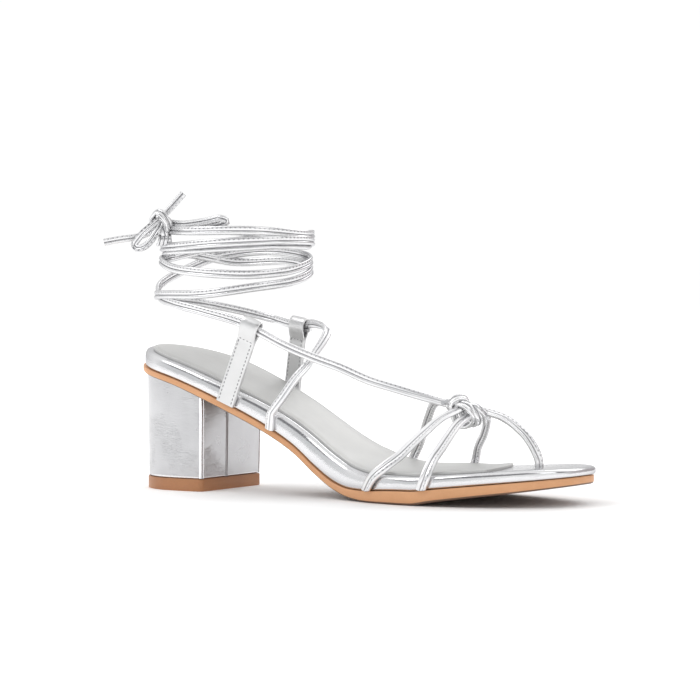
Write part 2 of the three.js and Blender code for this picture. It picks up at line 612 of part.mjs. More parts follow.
// Stitched loops for the ties
// A loop is one band folded over: two layers up to its cross stitch, then an open tunnel.
// Its foot is cut to stand on the outsole's ledge all along its width. `base` and `top` are its
// places along the shoe, and `inside` is its top's place as a share of the ankle's half width.
function tieLoop({ base, top, inside, side }) {
  const foot = edgeAt(base * LENGTH, side);
  const reach = GAP + LOOP_LEATHER;
  const low = vector(foot.point.x + foot.out.x * reach, foot.point.y + foot.out.y * reach, 0);
  low.z = footbedBottom(low.x) - FOOT_TRIM;
  const high = vector(top * LENGTH, (side * inside * ANKLE_WIDE) / 2, loopTop);
  const up = high.clone().sub(low);
  const length = up.length();
  up.normalize();
  const face = vector(foot.out.x, foot.out.y, 0);
  face.addScaledVector(up, -face.dot(up)).normalize();
  const run = face.clone().cross(up);
  const inner = STRAP_THICKNESS / 2 + 2 * GAP;
  const outer = inner + LOOP_LEATHER;
  const neck = length - LOOP_TUNNEL - 2 * LOOP_LEATHER;
  const mid = neck + (length - neck) / 2;
  const profile = new THREE.Shape();
  profile.moveTo(-LOOP_LEATHER, 0);
  profile.lineTo(LOOP_LEATHER, 0);
  profile.lineTo(LOOP_LEATHER, neck - LOOP_LEATHER);
  profile.lineTo(outer, mid - LOOP_TUNNEL * 0.25);
  profile.lineTo(outer, mid + LOOP_TUNNEL * 0.25);
  profile.lineTo(outer * 0.6, length - LOOP_LEATHER * 0.4);
  profile.lineTo(0, length);
  profile.lineTo(-outer * 0.6, length - LOOP_LEATHER * 0.4);
  profile.lineTo(-outer, mid + LOOP_TUNNEL * 0.25);
  profile.lineTo(-outer, mid - LOOP_TUNNEL * 0.25);
  profile.lineTo(-LOOP_LEATHER, neck - LOOP_LEATHER);
  const hole = new THREE.Path();
  hole.moveTo(0, neck + LOOP_LEATHER * 0.4);
  hole.lineTo(inner, mid - LOOP_TUNNEL * 0.25);
  hole.lineTo(inner, mid + LOOP_TUNNEL * 0.25);
  hole.lineTo(0, length - LOOP_LEATHER);
  hole.lineTo(-inner, mid + LOOP_TUNNEL * 0.25);
  hole.lineTo(-inner, mid - LOOP_TUNNEL * 0.25);
  profile.holes.push(hole);
  const band = new THREE.ExtrudeGeometry(profile, { depth: LOOP_WIDTH, bevelEnabled: false });
  band.translate(0, 0, -LOOP_WIDTH / 2);
  band.applyMatrix4(new THREE.Matrix4().makeBasis(face, up, run));
  band.translate(low.x, low.y, low.z);
  const forward = run.clone().multiplyScalar(Math.sign(run.x));
  return {
    band: toSolid(band).subtract(underLedge),
    tunnel: low.clone().addScaledVector(up, mid),
    forward,
  };
}
const lateralLoop = tieLoop({ base: 0.256, top: 0.334, inside: 0.94, side: -1 });
const medialLoop = tieLoop({ base: 0.257, top: 0.286, inside: 0.83, side: 1 });

// Ties round the ankle
// A row of the ankle: degrees round its oval from the instep, the height as a share of the way
// from the loops' top to the topmost turn, and how far the tie lies outside the oval, in
// strap thicknesses.
const ankle = ({ round, high, layer }) => {
  const a = THREE.MathUtils.degToRad(round);
  const out = vector(Math.cos(a) * ANKLE_WIDE, Math.sin(a) * ANKLE_LONG, 0).normalize();
  const p = vector(
    ANKLE_CENTRE + (Math.cos(a) * ANKLE_LONG) / 2,
    (Math.sin(a) * ANKLE_WIDE) / 2,
    THREE.MathUtils.lerp(loopTop, ankleTop, high),
  );
  return { p: p.addScaledVector(out, layer * STRAP_THICKNESS), out };
};
// A row of a tie between the vamp or the waist and the loops: as a vamp strap's row, with its
// height as a share of the way up to the loops' top.
const leaning = (floor) => ({ along, across, high, lean }) => ({
  p: vector(along * LENGTH, across * BALL_WIDTH, THREE.MathUtils.lerp(floor(along * LENGTH), loopTop, high)),
  out: vector(0.4 * (1 - Math.abs(lean)), lean, 0.6 * (1 - Math.abs(lean))).normalize(),
});

// The tie from the vamp knot: back over the instep to the lateral loop, then three turns.
const INSTEP_TIE = [
  { along: 0.716, across: -0.033, high: 0.08, lean: -0.25 },
  { along: 0.670, across: -0.073, high: 0.15, lean: -0.45 },
  { along: 0.614, across: -0.122, high: 0.24, lean: -0.60 },
  { along: 0.557, across: -0.170, high: 0.335, lean: -0.70 },
  { along: 0.502, across: -0.218, high: 0.467, lean: -0.80 },
  { along: 0.448, across: -0.264, high: 0.576, lean: -0.90 },
  { along: 0.392, across: -0.312, high: 0.708, lean: -0.95 },
];
const INSTEP_TIE_TURNS = [
  { round: -84, high: 0.07, layer: 0.0 },
  { round: -113, high: 0.16, layer: 0.0 },
  { round: -142, high: 0.24, layer: 0.0 },
  { round: -160, high: 0.35, layer: 0.3 },
  { round: -190, high: 0.50, layer: 0.3 },
  { round: -227, high: 0.70, layer: 0.0 },
  { round: -266, high: 0.77, layer: 0.0 },
  { round: -305, high: 0.72, layer: 0.0 },
  { round: -344, high: 0.63, layer: 0.0 },
  { round: -379, high: 0.53, layer: 0.0 },
  { round: -411, high: 0.49, layer: 0.0 },
  { round: -450, high: 0.52, layer: 0.0 },
  { round: -478, high: 0.57, layer: 0.0 },
  { round: -502, high: 0.65, layer: 0.5 },
  { round: -534, high: 0.69, layer: 0.0 },
  { round: -580, high: 0.79, layer: 0.0 },
  { round: -625, high: 0.85, layer: 0.0 },
  { round: -681, high: 0.86, layer: 0.0 },
  { round: -711, high: 0.88, layer: 0.5 },
  { round: -745, high: 0.88, layer: 0.5 },
  { round: -793, high: 0.85, layer: 0.5 },
  { round: -835, high: 0.81, layer: 0.5 },
  { round: -886, high: 0.81, layer: 0.5 },
  { round: -949, high: 0.87, layer: 0.5 },
  { round: -1000, high: 0.95, layer: 0.5 },
  { round: -1040, high: 0.96, layer: 0.5 },
  { round: -1080, high: 0.95, layer: 0.0 },
  { round: -1126, high: 0.99, layer: 0.0 },
  { round: -1176, high: 0.99, layer: 0.0 },
  { round: -1222, high: 1.01, layer: 0.5 },
];
// The tie from the lateral waist: up behind the first one, over to the medial loop, and round.
const WAIST_TIE = [
  { along: 0.368, across: -0.318, high: 0.03, lean: -1.00 },
  { along: 0.389, across: -0.310, high: 0.22, lean: -0.95 },
  { along: 0.412, across: -0.287, high: 0.43, lean: -0.85 },
  { along: 0.434, across: -0.242, high: 0.60, lean: -0.75 },
  { along: 0.437, across: -0.179, high: 0.70, lean: -0.55 },
  { along: 0.436, across: -0.108, high: 0.78, lean: -0.30 },
  { along: 0.429, across: -0.024, high: 0.86, lean: 0.00 },
  { along: 0.408, across: 0.060, high: 0.90, lean: 0.30 },
  { along: 0.368, across: 0.155, high: 0.92, lean: 0.55 },
  { along: 0.326, across: 0.251, high: 0.91, lean: 0.80 },
];
const WAIST_TIE_TURNS = [
  { round: 88, high: -0.04, layer: 0.0 },
  { round: 110, high: 0.04, layer: 0.0 },
  { round: 142, high: 0.14, layer: 0.0 },
  { round: 177, high: 0.20, layer: 0.0 },
  { round: 205, high: 0.25, layer: 0.6 },
  { round: 240, high: 0.26, layer: 0.0 },
  { round: 276, high: 0.27, layer: 0.0 },
  { round: 310, high: 0.34, layer: 0.0 },
  { round: 345, high: 0.41, layer: 0.0 },
  { round: 371, high: 0.49, layer: 0.0 },
  { round: 401, high: 0.58, layer: 0.0 },
  { round: 440, high: 0.65, layer: 0.0 },
  { round: 480, high: 0.64, layer: 0.0 },
  { round: 518, high: 0.73, layer: 0.0 },
  { round: 550, high: 0.74, layer: 0.0 },
  { round: 583, high: 0.76, layer: 0.0 },
  { round: 624, high: 0.78, layer: 0.0 },
  { round: 664, high: 0.81, layer: 0.0 },
  { round: 698, high: 0.83, layer: 0.0 },
  { round: 730, high: 0.83, layer: 0.0 },
  { round: 780, high: 0.88, layer: 0.0 },
  { round: 820, high: 0.99, layer: 0.0 },
  { round: 860, high: 1.02, layer: 0.0 },
  { round: 900, high: 1.04, layer: 0.3 },
  { round: 926, high: 1.04, layer: 0.7 },
  { round: 945, high: 1.07, layer: 0.9 },
];
// The way through a loop's tunnel, straight from before its front end to behind its back end.
const throughTunnel = ({ tunnel, forward }, side) => [0.62, -0.62].map((step) => ({
  p: tunnel.clone().addScaledVector(forward, step * LOOP_WIDTH),
  out: vector(0, side, 0),
}));
const instepTie = [
  inKnot({ end: -1.05, up: 0.48, side: 0.14 }, vector(-0.3, -0.2, 1).normalize()),
  ...INSTEP_TIE.map(leaning(() => knotHeight)),
  ...throughTunnel(lateralLoop, -1),
  ...INSTEP_TIE_TURNS.map(ankle),
];
const waistTie = [
  ...strapFoot({ ledge: 0.357, rim: 0.361 }, -1),
  ...WAIST_TIE.map(leaning(footbedTop)),
  ...throughTunnel(medialLoop, 1),
  ...WAIST_TIE_TURNS.map(ankle),
];

// Bow behind the ankle
// The bow sits on the topmost turn, at the back of the lateral side.
const bowCentre = ankle({ round: -131, high: 1.09, layer: 1.0 }).p;
const BOW_RING = [
  { end: -0.59, up: 0.40, side: 0.00 },
  { end: -0.36, up: 0.64, side: 0.19 },
  { end: -0.06, up: 0.55, side: 0.40 },
  { end: 0.21, up: 0.25, side: 0.50 },
  { end: 0.40, up: -0.12, side: 0.44 },
  { end: 0.40, up: -0.43, side: 0.19 },
  { end: 0.06, up: -0.52, side: -0.31 },
  { end: -0.37, up: -0.12, side: -0.56 },
  { end: -0.65, up: 0.16, side: -0.35 },
];
const BOW_COIL = [
  { end: 0.19, up: -0.80, side: 0.19 },
  { end: 0.25, up: -1.04, side: 0.38 },
  { end: 0.12, up: -1.35, side: 0.19 },
  { end: -0.06, up: -1.37, side: -0.19 },
  { end: -0.12, up: -1.10, side: -0.38 },
  { end: 0.00, up: -0.80, side: -0.19 },
];
function bowKnot(grow) {
  const core = new THREE.SphereGeometry(1, 12, 8);
  core.scale(0.45 * BOW_SIZE + grow, 0.35 * BOW_SIZE + grow, 0.5 * BOW_SIZE + grow);
  core.rotateZ(turn);
  core.translate(bowCentre.x, bowCentre.y, bowCentre.z);
  const link = [
    { end: 0.00, up: -0.25, side: 0.10 },
    { end: 0.16, up: -0.80, side: 0.12 },
  ].map((row) => ({ p: fromKnot(bowCentre, BOW_SIZE, row), out: knotAxes.side }));
  return joined([
    core,
    strap(knotRing(bowCentre, BOW_SIZE, BOW_RING), { grow, closed: true }),
    strap(knotRing(bowCentre, BOW_SIZE, BOW_COIL), { grow, closed: true, width: BOW_COIL_WIDTH }),
    strap(link, { grow }),
  ]);
}
const bow = bowKnot(0);
const bowRoom = bowKnot(GAP);

// Bow loops and ends are cords: a round section along a smooth curve.
function cord(places) {
  const curve = new THREE.CatmullRomCurve3(places, false, 'centripetal');
  const section = new THREE.Shape();
  const radius = CORD_WIDTH / 2;
  for (let i = 0; i < 8; i += 1) {
    const a = (i / 8) * 2 * Math.PI;
    section[i ? 'lineTo' : 'moveTo'](radius * Math.cos(a), radius * Math.sin(a));
  }
  const steps = Math.max(4, Math.round(curve.getLength() / (2 * CORD_WIDTH)));
  return toSolid(new THREE.ExtrudeGeometry(section, { extrudePath: curve, steps, bevelEnabled: false }));
}
const LOOP_FRONT = [
  { end: -0.11, up: 0.08, side: 0.05 },
  { end: -0.33, up: -0.11, side: 0.14 },
  { end: -0.54, up: -0.30, side: 0.17 },
  { end: -0.68, up: -0.46, side: 0.14 },
  { end: -0.77, up: -0.61, side: 0.11 },
  { end: -0.68, up: -0.70, side: 0.17 },
  { end: -0.49, up: -0.655, side: 0.25 },
  { end: -0.30, up: -0.49, side: 0.28 },
  { end: -0.16, up: -0.27, side: 0.22 },
  { end: -0.05, up: -0.07, side: 0.08 },
];
const bowLoopFront = cord(LOOP_FRONT.map((row) => fromKnot(bowCentre, BOW_REACH, row)));
// The back loop lies inside the ties, just above their topmost turn.
const LOOP_BACK = [
  { round: -132, high: 1.09, layer: -0.5 },
  { round: -112, high: 1.07, layer: -1.5 },
  { round: -88, high: 1.10, layer: -1.7 },
  { round: -74, high: 1.13, layer: -1.7 },
  { round: -69, high: 1.10, layer: -2.0 },
  { round: -77, high: 1.06, layer: -2.5 },
  { round: -100, high: 1.03, layer: -2.9 },
  { round: -122, high: 1.03, layer: -2.6 },
  { round: -140, high: 1.06, layer: -1.5 },
];
const bowLoopBack = cord(LOOP_BACK.map((row) => ankle(row).p));
const END_UP = [
  { end: 0.03, up: 0.20, side: 0.00 },
  { end: 0.16, up: 0.36, side: -0.03 },
  { end: 0.37, up: 0.59, side: -0.03 },
  { end: 0.59, up: 0.84, side: 0.00 },
];
const tieEndUp = cord(END_UP.map((row) => fromKnot(bowCentre, END_UP_LENGTH, row)));
const END_DOWN = [
  { end: -0.11, up: -0.10, side: -0.07 },
  { end: -0.28, up: -0.18, side: -0.08 },
  { end: -0.41, up: -0.23, side: -0.08 },
  { end: -0.69, up: -0.27, side: -0.03 },
  { end: -0.96, up: -0.32, side: 0.00 },
];
const tieEndDown = cord(END_DOWN.map((row) => fromKnot(bowCentre, END_DOWN_LENGTH, row)));

const wound = (grow) => joined([strap(instepTie, { grow }), strap(waistTie, { grow })]);
const ankleTies = wound(0)
  .subtract(vampStraps(GAP))
  .subtract(bowRoom)
  .subtract(underLedge);
const tieRoom = wound(GAP);
const beside = (piece) => fromSolid(piece.subtract(bowRoom).subtract(tieRoom));

// Materials and assembly
const foil = { roughness: 0.28, metalness: 0.85 };
const finishes = {
  outsole: { color: 0xd9985f, roughness: 0.55, metalness: 0 },
  footbed: { color: 0xd6d7da, ...foil },
  sock_lining: { color: 0xdad9d6, roughness: 0.55, metalness: 0.1 },
  heel_block: { color: 0xc9c9cb, ...foil, roughness: 0.4 },
  heel_tip: { color: 0xa86f4c, roughness: 0.5, metalness: 0 },
  strap: { color: 0xd4d6d9, ...foil },
};

const shoe = new THREE.Group();
const place = (name, geometry, finish) => {
  const mesh = new THREE.Mesh(geometry, new THREE.MeshStandardMaterial(finish));
  mesh.name = name;
  shoe.add(mesh);
};
place('outsole', outsole, finishes.outsole);
place('footbed', fromSolid(footbed), finishes.footbed);
place('sock_lining', sockLining, finishes.sock_lining);
place('heel_block', heelBlock, finishes.heel_block);
place('heel_tip', heelTip, finishes.heel_tip);
place('vamp_straps', fromSolid(upper), finishes.strap);
place('lateral_loop', fromSolid(lateralLoop.band), finishes.strap);
place('medial_loop', fromSolid(medialLoop.band), finishes.strap);
place('ankle_ties', fromSolid(ankleTies), finishes.strap);
place('bow_knot', fromSolid(bow), finishes.strap);
place('bow_loop_front', beside(bowLoopFront), finishes.strap);
place('bow_loop_back', beside(bowLoopBack), finishes.strap);
place('tie_end_up', beside(tieEndUp), finishes.strap);
place('tie_end_down', beside(tieEndDown), finishes.strap);

// The origin is on the floor under the middle of the heel tip.
shoe.position.x = -REST;

export default shoe;
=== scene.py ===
import math

import bpy
import bmesh
import numpy as np
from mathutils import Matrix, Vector, noise


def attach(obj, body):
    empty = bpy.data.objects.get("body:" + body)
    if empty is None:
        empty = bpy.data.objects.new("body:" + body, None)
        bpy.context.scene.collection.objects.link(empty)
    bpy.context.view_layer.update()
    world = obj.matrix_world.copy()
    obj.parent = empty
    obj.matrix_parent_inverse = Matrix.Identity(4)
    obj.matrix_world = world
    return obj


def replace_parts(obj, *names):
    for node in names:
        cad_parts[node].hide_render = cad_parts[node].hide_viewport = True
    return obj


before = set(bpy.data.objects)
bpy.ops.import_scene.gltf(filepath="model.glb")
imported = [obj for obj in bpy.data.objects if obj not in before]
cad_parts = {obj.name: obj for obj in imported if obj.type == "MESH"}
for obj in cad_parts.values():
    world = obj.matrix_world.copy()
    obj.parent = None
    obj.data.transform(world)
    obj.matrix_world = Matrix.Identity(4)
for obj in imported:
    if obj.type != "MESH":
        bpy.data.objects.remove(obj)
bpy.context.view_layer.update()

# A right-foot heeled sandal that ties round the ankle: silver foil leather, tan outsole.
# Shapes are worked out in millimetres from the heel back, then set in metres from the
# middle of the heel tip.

scene = bpy.context.scene

# Camera
TARGET = Vector((0.09087, 0.0, 0.06948))
AZIMUTH = math.radians(31.911)
ELEVATION = math.radians(1.637)
DISTANCE = 1.3018
camera_data = bpy.data.cameras.new("camera")
camera_data.lens = 139.4
camera_data.sensor_width = 36
camera_data.clip_start = 0.05
camera_data.clip_end = 30
camera = bpy.data.objects.new("camera", camera_data)
scene.collection.objects.link(camera)
toward = Vector((
    math.sin(AZIMUTH) * math.cos(ELEVATION),
    -math.cos(AZIMUTH) * math.cos(ELEVATION),
    math.sin(ELEVATION),
))
camera.location = TARGET + toward * DISTANCE
camera.rotation_euler = (-toward).to_track_quat("-Z", "Y").to_euler()
scene.camera = camera

# Sizes in millimetres
LENGTH = 240
BALL_WIDTH = 83.6
HEEL_HEIGHT = 59.0
TOE_SPRING = 9.7
TOE_SWING = 3.8
OUTSOLE_THICKNESS = 6.4
OUTSOLE_LEDGE = 1.0
SOLE_ROUND = 2.2
FOOTBED_THICKNESS = 10.9
RIM_WIDTH = 4
SOCK_THICKNESS = 0.9
SOCK_MARGIN = 4.2
SOCK_LATERAL = 207.5
SOCK_MEDIAL = 184.5
SOCK_BULGE = 3.3
HEEL_BREAST = 46.4
HEEL_INSET_BACK = 1.1
HEEL_INSET_FRONT = 3.0
HEEL_CORNER = 2.6
HEEL_TAPER = 0.7
TIP_THICKNESS = 6.0
TIP_LEDGE = 0.4
STRAP_WIDTH = 4.4
STRAP_THICKNESS = 2.3
KNOT_HEIGHT = 27.4
KNOT_SIZE = 10
LOOP_WIDTH = 9.8
LOOP_LEATHER = 1.1
LOOP_TUNNEL = 7.6
LOOP_HEIGHT = 33.2
ANKLE_LONG = 79
ANKLE_WIDE = 66
ANKLE_CENTRE = 48
ANKLE_HEIGHT = 42.4
BOW_SIZE = 8
BOW_REACH = 18
END_UP_LENGTH = 17
END_DOWN_LENGTH = 30
GAP = 0.3
REST = 24

# The last: shares of LENGTH, then half widths as shares of BALL_WIDTH
PLAN = [
    (0.000, 0.000, 0.000), (0.006, 0.104, 0.104), (0.022, 0.194, 0.193),
    (0.050, 0.273, 0.274), (0.090, 0.329, 0.331), (0.160, 0.352, 0.356),
    (0.250, 0.341, 0.335), (0.340, 0.306, 0.284), (0.440, 0.288, 0.266),
    (0.540, 0.362, 0.353), (0.630, 0.448, 0.476), (0.700, 0.478, 0.522),
    (0.760, 0.469, 0.503), (0.840, 0.424, 0.444), (0.910, 0.341, 0.372),
    (0.960, 0.242, 0.308), (0.985, 0.154, 0.242), (0.997, 0.062, 0.152),
    (1.000, -TOE_SWING / BALL_WIDTH, TOE_SWING / BALL_WIDTH),
]
# Side profile: shares of LENGTH, heel rise, toe spring, outsole thickness, ledge, footbed thickness
PROFILE = [
    (0.00, 1.000, 0.00, 0.48, 1.00, 0.78), (0.04, 0.963, 0.00, 0.46, 0.90, 0.78),
    (0.12, 0.890, 0.00, 0.47, 0.65, 0.72), (0.22, 0.739, 0.00, 0.55, 0.55, 0.74),
    (0.34, 0.512, 0.00, 0.53, 0.45, 0.87), (0.40, 0.368, 0.00, 0.51, 0.40, 0.96),
    (0.46, 0.185, 0.00, 0.52, 0.40, 1.14), (0.51, 0.078, 0.00, 0.54, 0.45, 1.09),
    (0.56, 0.018, 0.00, 0.67, 0.60, 0.89), (0.61, 0.000, 0.00, 0.84, 0.85, 0.71),
    (0.71, 0.000, 0.00, 1.00, 1.00, 0.61), (0.76, 0.000, 0.19, 0.91, 1.00, 0.58),
    (0.84, 0.000, 0.47, 0.80, 1.00, 0.53), (0.92, 0.000, 0.72, 0.73, 0.10, 0.48),
    (1.00, 0.000, 1.00, 0.61, -1.00, 0.34),
]


def reading(column):
    """Monotone cubic through one column of the side profile, read at a share of LENGTH."""
    at = [row[0] for row in PROFILE]
    value = [row[column] for row in PROFILE]
    slope = [(value[i + 1] - value[i]) / (at[i + 1] - at[i]) for i in range(len(at) - 1)]
    tangent = [slope[0]]
    for i in range(1, len(at) - 1):
        a, b = slope[i - 1], slope[i]
        tangent.append(0 if a * b <= 0 else 2 / (1 / a + 1 / b))
    tangent.append(slope[-1])

    def read(share):
        s = min(max(share, at[0]), at[-1])
        i = 0
        while i + 2 < len(at) and s > at[i + 1]:
            i += 1
        h = at[i + 1] - at[i]
        t = (s - at[i]) / h
        return (
            (1 + 2 * t) * (1 - t) ** 2 * value[i] + t * (1 - t) ** 2 * h * tangent[i]
            + t * t * (3 - 2 * t) * value[i + 1] + t * t * (t - 1) * h * tangent[i + 1]
        )

    return read


rise, spring, outsole_share, ledge_share, footbed_share = [reading(k) for k in range(1, 6)]


def underside(x):
    return HEEL_HEIGHT * rise(x / LENGTH) + TOE_SPRING * spring(x / LENGTH)


def outsole_top(x):
    return underside(x) + OUTSOLE_THICKNESS * outsole_share(x / LENGTH)


def footbed_bottom(x):
    return outsole_top(x) + GAP


def footbed_top(x):
    return footbed_bottom(x) + FOOTBED_THICKNESS * footbed_share(x / LENGTH)


def sock_top(x):
    return footbed_top(x) + GAP + SOCK_THICKNESS


def mix(a, b, t):
    return a + (b - a) * t


def ease(x, low, high):
    t = min(max((x - low) / (high - low), 0), 1)
    return t * t * (3 - 2 * t)


def unit(v):
    v = np.asarray(v, float)
    return v / np.linalg.norm(v)


class Route:
    """A smooth curve through points: a centripetal Catmull-Rom spline."""

    def __init__(self, points, closed=False):
        p = np.array(points, float)
        self.spans = len(p) if closed else len(p) - 1
        ring = np.arange(self.spans)
        if closed:
            p0, p1, p2, p3 = [p[(ring + k) % len(p)] for k in (-1, 0, 1, 2)]
        else:
            longer = np.vstack([2 * p[0] - p[1], p, 2 * p[-1] - p[-2]])
            p0, p1, p2, p3 = [longer[ring + k] for k in range(4)]
        d0, d1, d2 = [
            np.sqrt(np.maximum(np.linalg.norm(b - a, axis=1), 1e-4))[:, None]
            for a, b in ((p0, p1), (p1, p2), (p2, p3))
        ]
        m1 = ((p1 - p0) / d0 - (p2 - p0) / (d0 + d1) + (p2 - p1) / d1) * d1
        m2 = ((p2 - p1) / d1 - (p3 - p1) / (d1 + d2) + (p3 - p2) / d2) * d1
        self.c = (p1, m1, -3 * p1 + 3 * p2 - 2 * m1 - m2, 2 * p1 - 2 * p2 + m1 + m2)
        fine = np.linspace(0, 1, self.spans * 24 + 1)
        step = np.linalg.norm(np.diff(self.at(fine), axis=0), axis=1)
        self.fine = fine
        self.run = np.concatenate([[0], np.cumsum(step)])
        self.length = self.run[-1]

    def _span(self, t):
        u = np.asarray(t, float) * self.spans
        i = np.clip(np.floor(u).astype(int), 0, self.spans - 1)
        return i, (u - i)[..., None]

    def at(self, t):
        i, w = self._span(t)
        c0, c1, c2, c3 = [c[i] for c in self.c]
        return c0 + w * (c1 + w * (c2 + w * c3))

    def along(self, t):
        i, w = self._span(t)
        _, c1, c2, c3 = [c[i] for c in self.c]
        d = c1 + w * (2 * c2 + 3 * w * c3)
        return d / np.linalg.norm(d, axis=-1, keepdims=True)

    def marks(self, distance):
        return np.interp(distance, self.run, self.fine)


# Outline of the footbed, and points beside it
plan_ring = [(a * LENGTH, -lateral * BALL_WIDTH, 0) for a, lateral, _ in PLAN]
plan_ring += [(a * LENGTH, medial * BALL_WIDTH, 0) for a, _, medial in PLAN[-2:0:-1]]
plan_route = Route(plan_ring, closed=True)
PLAN_STEP = 2.0
plan_marks = []
for i in range(len(PLAN) - 1):
    chord = math.dist(plan_ring[i], plan_ring[i + 1])
    pieces = max(2, round(chord / PLAN_STEP))
    plan_marks += [(i + k / pieces) / len(plan_ring) for k in range(pieces)]
plan_marks.append(0.5)
PLAN_PLACES = []
for mark in plan_marks:
    both = np.array([mark, (1 - mark) % 1])
    PLAN_PLACES.append((plan_route.at(both), plan_route.along(both)))


def plan_pairs(inset, up_to=math.inf):
    """Pairs of points, lateral and medial, drawn in from the outline by inset(x)."""
    pairs = []
    for place, along in PLAN_PLACES:
        if place[0][0] >= up_to:
            break
        pair = []
        for p, run in zip(place, along):
            d = inset(p[0])
            pair.append((p[0] - run[1] * d, p[1] + run[0] * d))
        pairs.append(pair)
    for k in (0, -1):
        if abs(PLAN_PLACES[k][0][0][1] - PLAN_PLACES[k][0][1][1]) < 1e-6:
            if k == 0 or len(pairs) == len(PLAN_PLACES):
                pairs[k] = [pairs[k][0], pairs[k][0]]
    return pairs


EDGE = plan_pairs(lambda x: 0)


def edge_at(x, side):
    """The outline's point at a distance along, on one side, and its outward direction."""
    column = 0 if side < 0 else 1
    i = 0
    while i + 2 < len(EDGE) and EDGE[i + 1][column][0] < x:
        i += 1
    a, b = np.array(EDGE[i][column]), np.array(EDGE[i + 1][column])
    t = (x - a[0]) / (b[0] - a[0])
    run = unit(b - a)
    return mix(a, b, t), np.array([-side * run[1], side * run[0]])


KNOT_AT = 0.75
LOOPS_AT = 0.26
knot_height = footbed_top(KNOT_AT * LENGTH) + KNOT_HEIGHT
loop_top = footbed_top(LOOPS_AT * LENGTH) + LOOP_HEIGHT
ankle_top = loop_top + ANKLE_HEIGHT


# Building pieces
class Piece:
    """Points and faces of one piece, in millimetres from the heel back."""

    def __init__(self):
        self.points = []
        self.faces = []
        self.uv = []
        self.finish = []

    def add(self, points, faces, uv=None, finish=0):
        start = sum(len(p) for p in self.points)
        self.points.append(np.asarray(points, float))
        for k, face in enumerate(faces):
            self.faces.append([start + i for i in face])
            self.uv.append(uv[k] if uv else [(0.0, 0.0)] * len(face))
            self.finish.append(finish)

    def make(self, name, materials, sharp=40):
        points = np.vstack(self.points)
        points[:, 0] -= REST
        mesh = bpy.data.meshes.new(name)
        mesh.from_pydata((points / 1000).tolist(), [], self.faces)
        layer = mesh.uv_layers.new(name="UVMap")
        flat = [c for corners in self.uv for pair in corners for c in pair]
        layer.data.foreach_set("uv", flat)
        mesh.polygons.foreach_set("material_index", self.finish)
        work = bmesh.new()
        work.from_mesh(mesh)
        for face in work.faces:
            face.smooth = True
        limit = math.radians(sharp)
        for edge in work.edges:
            if len(edge.link_faces) == 2 and edge.calc_face_angle(0) > limit:
                edge.smooth = False
        work.to_mesh(mesh)
        work.free()
        for m in materials:
            mesh.materials.append(m)
        piece = bpy.data.objects.new(name, mesh)
        scene.collection.objects.link(piece)
        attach(piece, "root")
        return piece


# A folded strap's section: a rolled bead at one edge and a stitched flange at the other.
# Rows are shares of the half width across and of the half thickness out.
def strap_section(width, thickness):
    bead = []
    radius = 0.5
    for k in range(11):
        a = math.radians(-128 + 25.6 * k)
        bead.append((1 - radius + radius * math.cos(a), math.sin(a)))
    flange = [(0.10, 0.46), (0.00, 0.60), (-0.20, 0.76), (-0.52, 0.78), (-0.82, 0.70), (-0.96, 0.42)]
    rows = bead + flange + [(-1.0, 0.0)] + [(a, -b) for a, b in reversed(flange)]
    return [(a * width / 2, b * thickness / 2) for a, b in rows]


STITCH_PITCH = 2.3
STITCH_LENGTH = 1.6
STITCH_WIDTH = 0.55
STITCH_HEIGHT = 0.22
STITCH_LINE = -0.52              # share of the half width
STITCH_FROM = 2.0                # the first stitch, from the strap's end


def stitch(piece, centre, along, across, up, length=STITCH_LENGTH):
    """One stitch: a low ridge of thread lying on the leather."""
    outline = [(-0.5, 0), (-0.3, -0.5), (0.3, -0.5), (0.5, 0), (0.3, 0.5), (-0.3, 0.5)]
    points = [
        centre + along * (a * length) + across * (b * STITCH_WIDTH) - up * 0.05 for a, b in outline
    ]
    points += [centre + along * (a * length) + up * STITCH_HEIGHT for a in (-0.26, 0.26)]
    piece.add(points, [(0, 1, 6), (1, 2, 7, 6), (2, 3, 7), (3, 4, 7), (4, 5, 6, 7), (5, 0, 6)],
              finish=1)


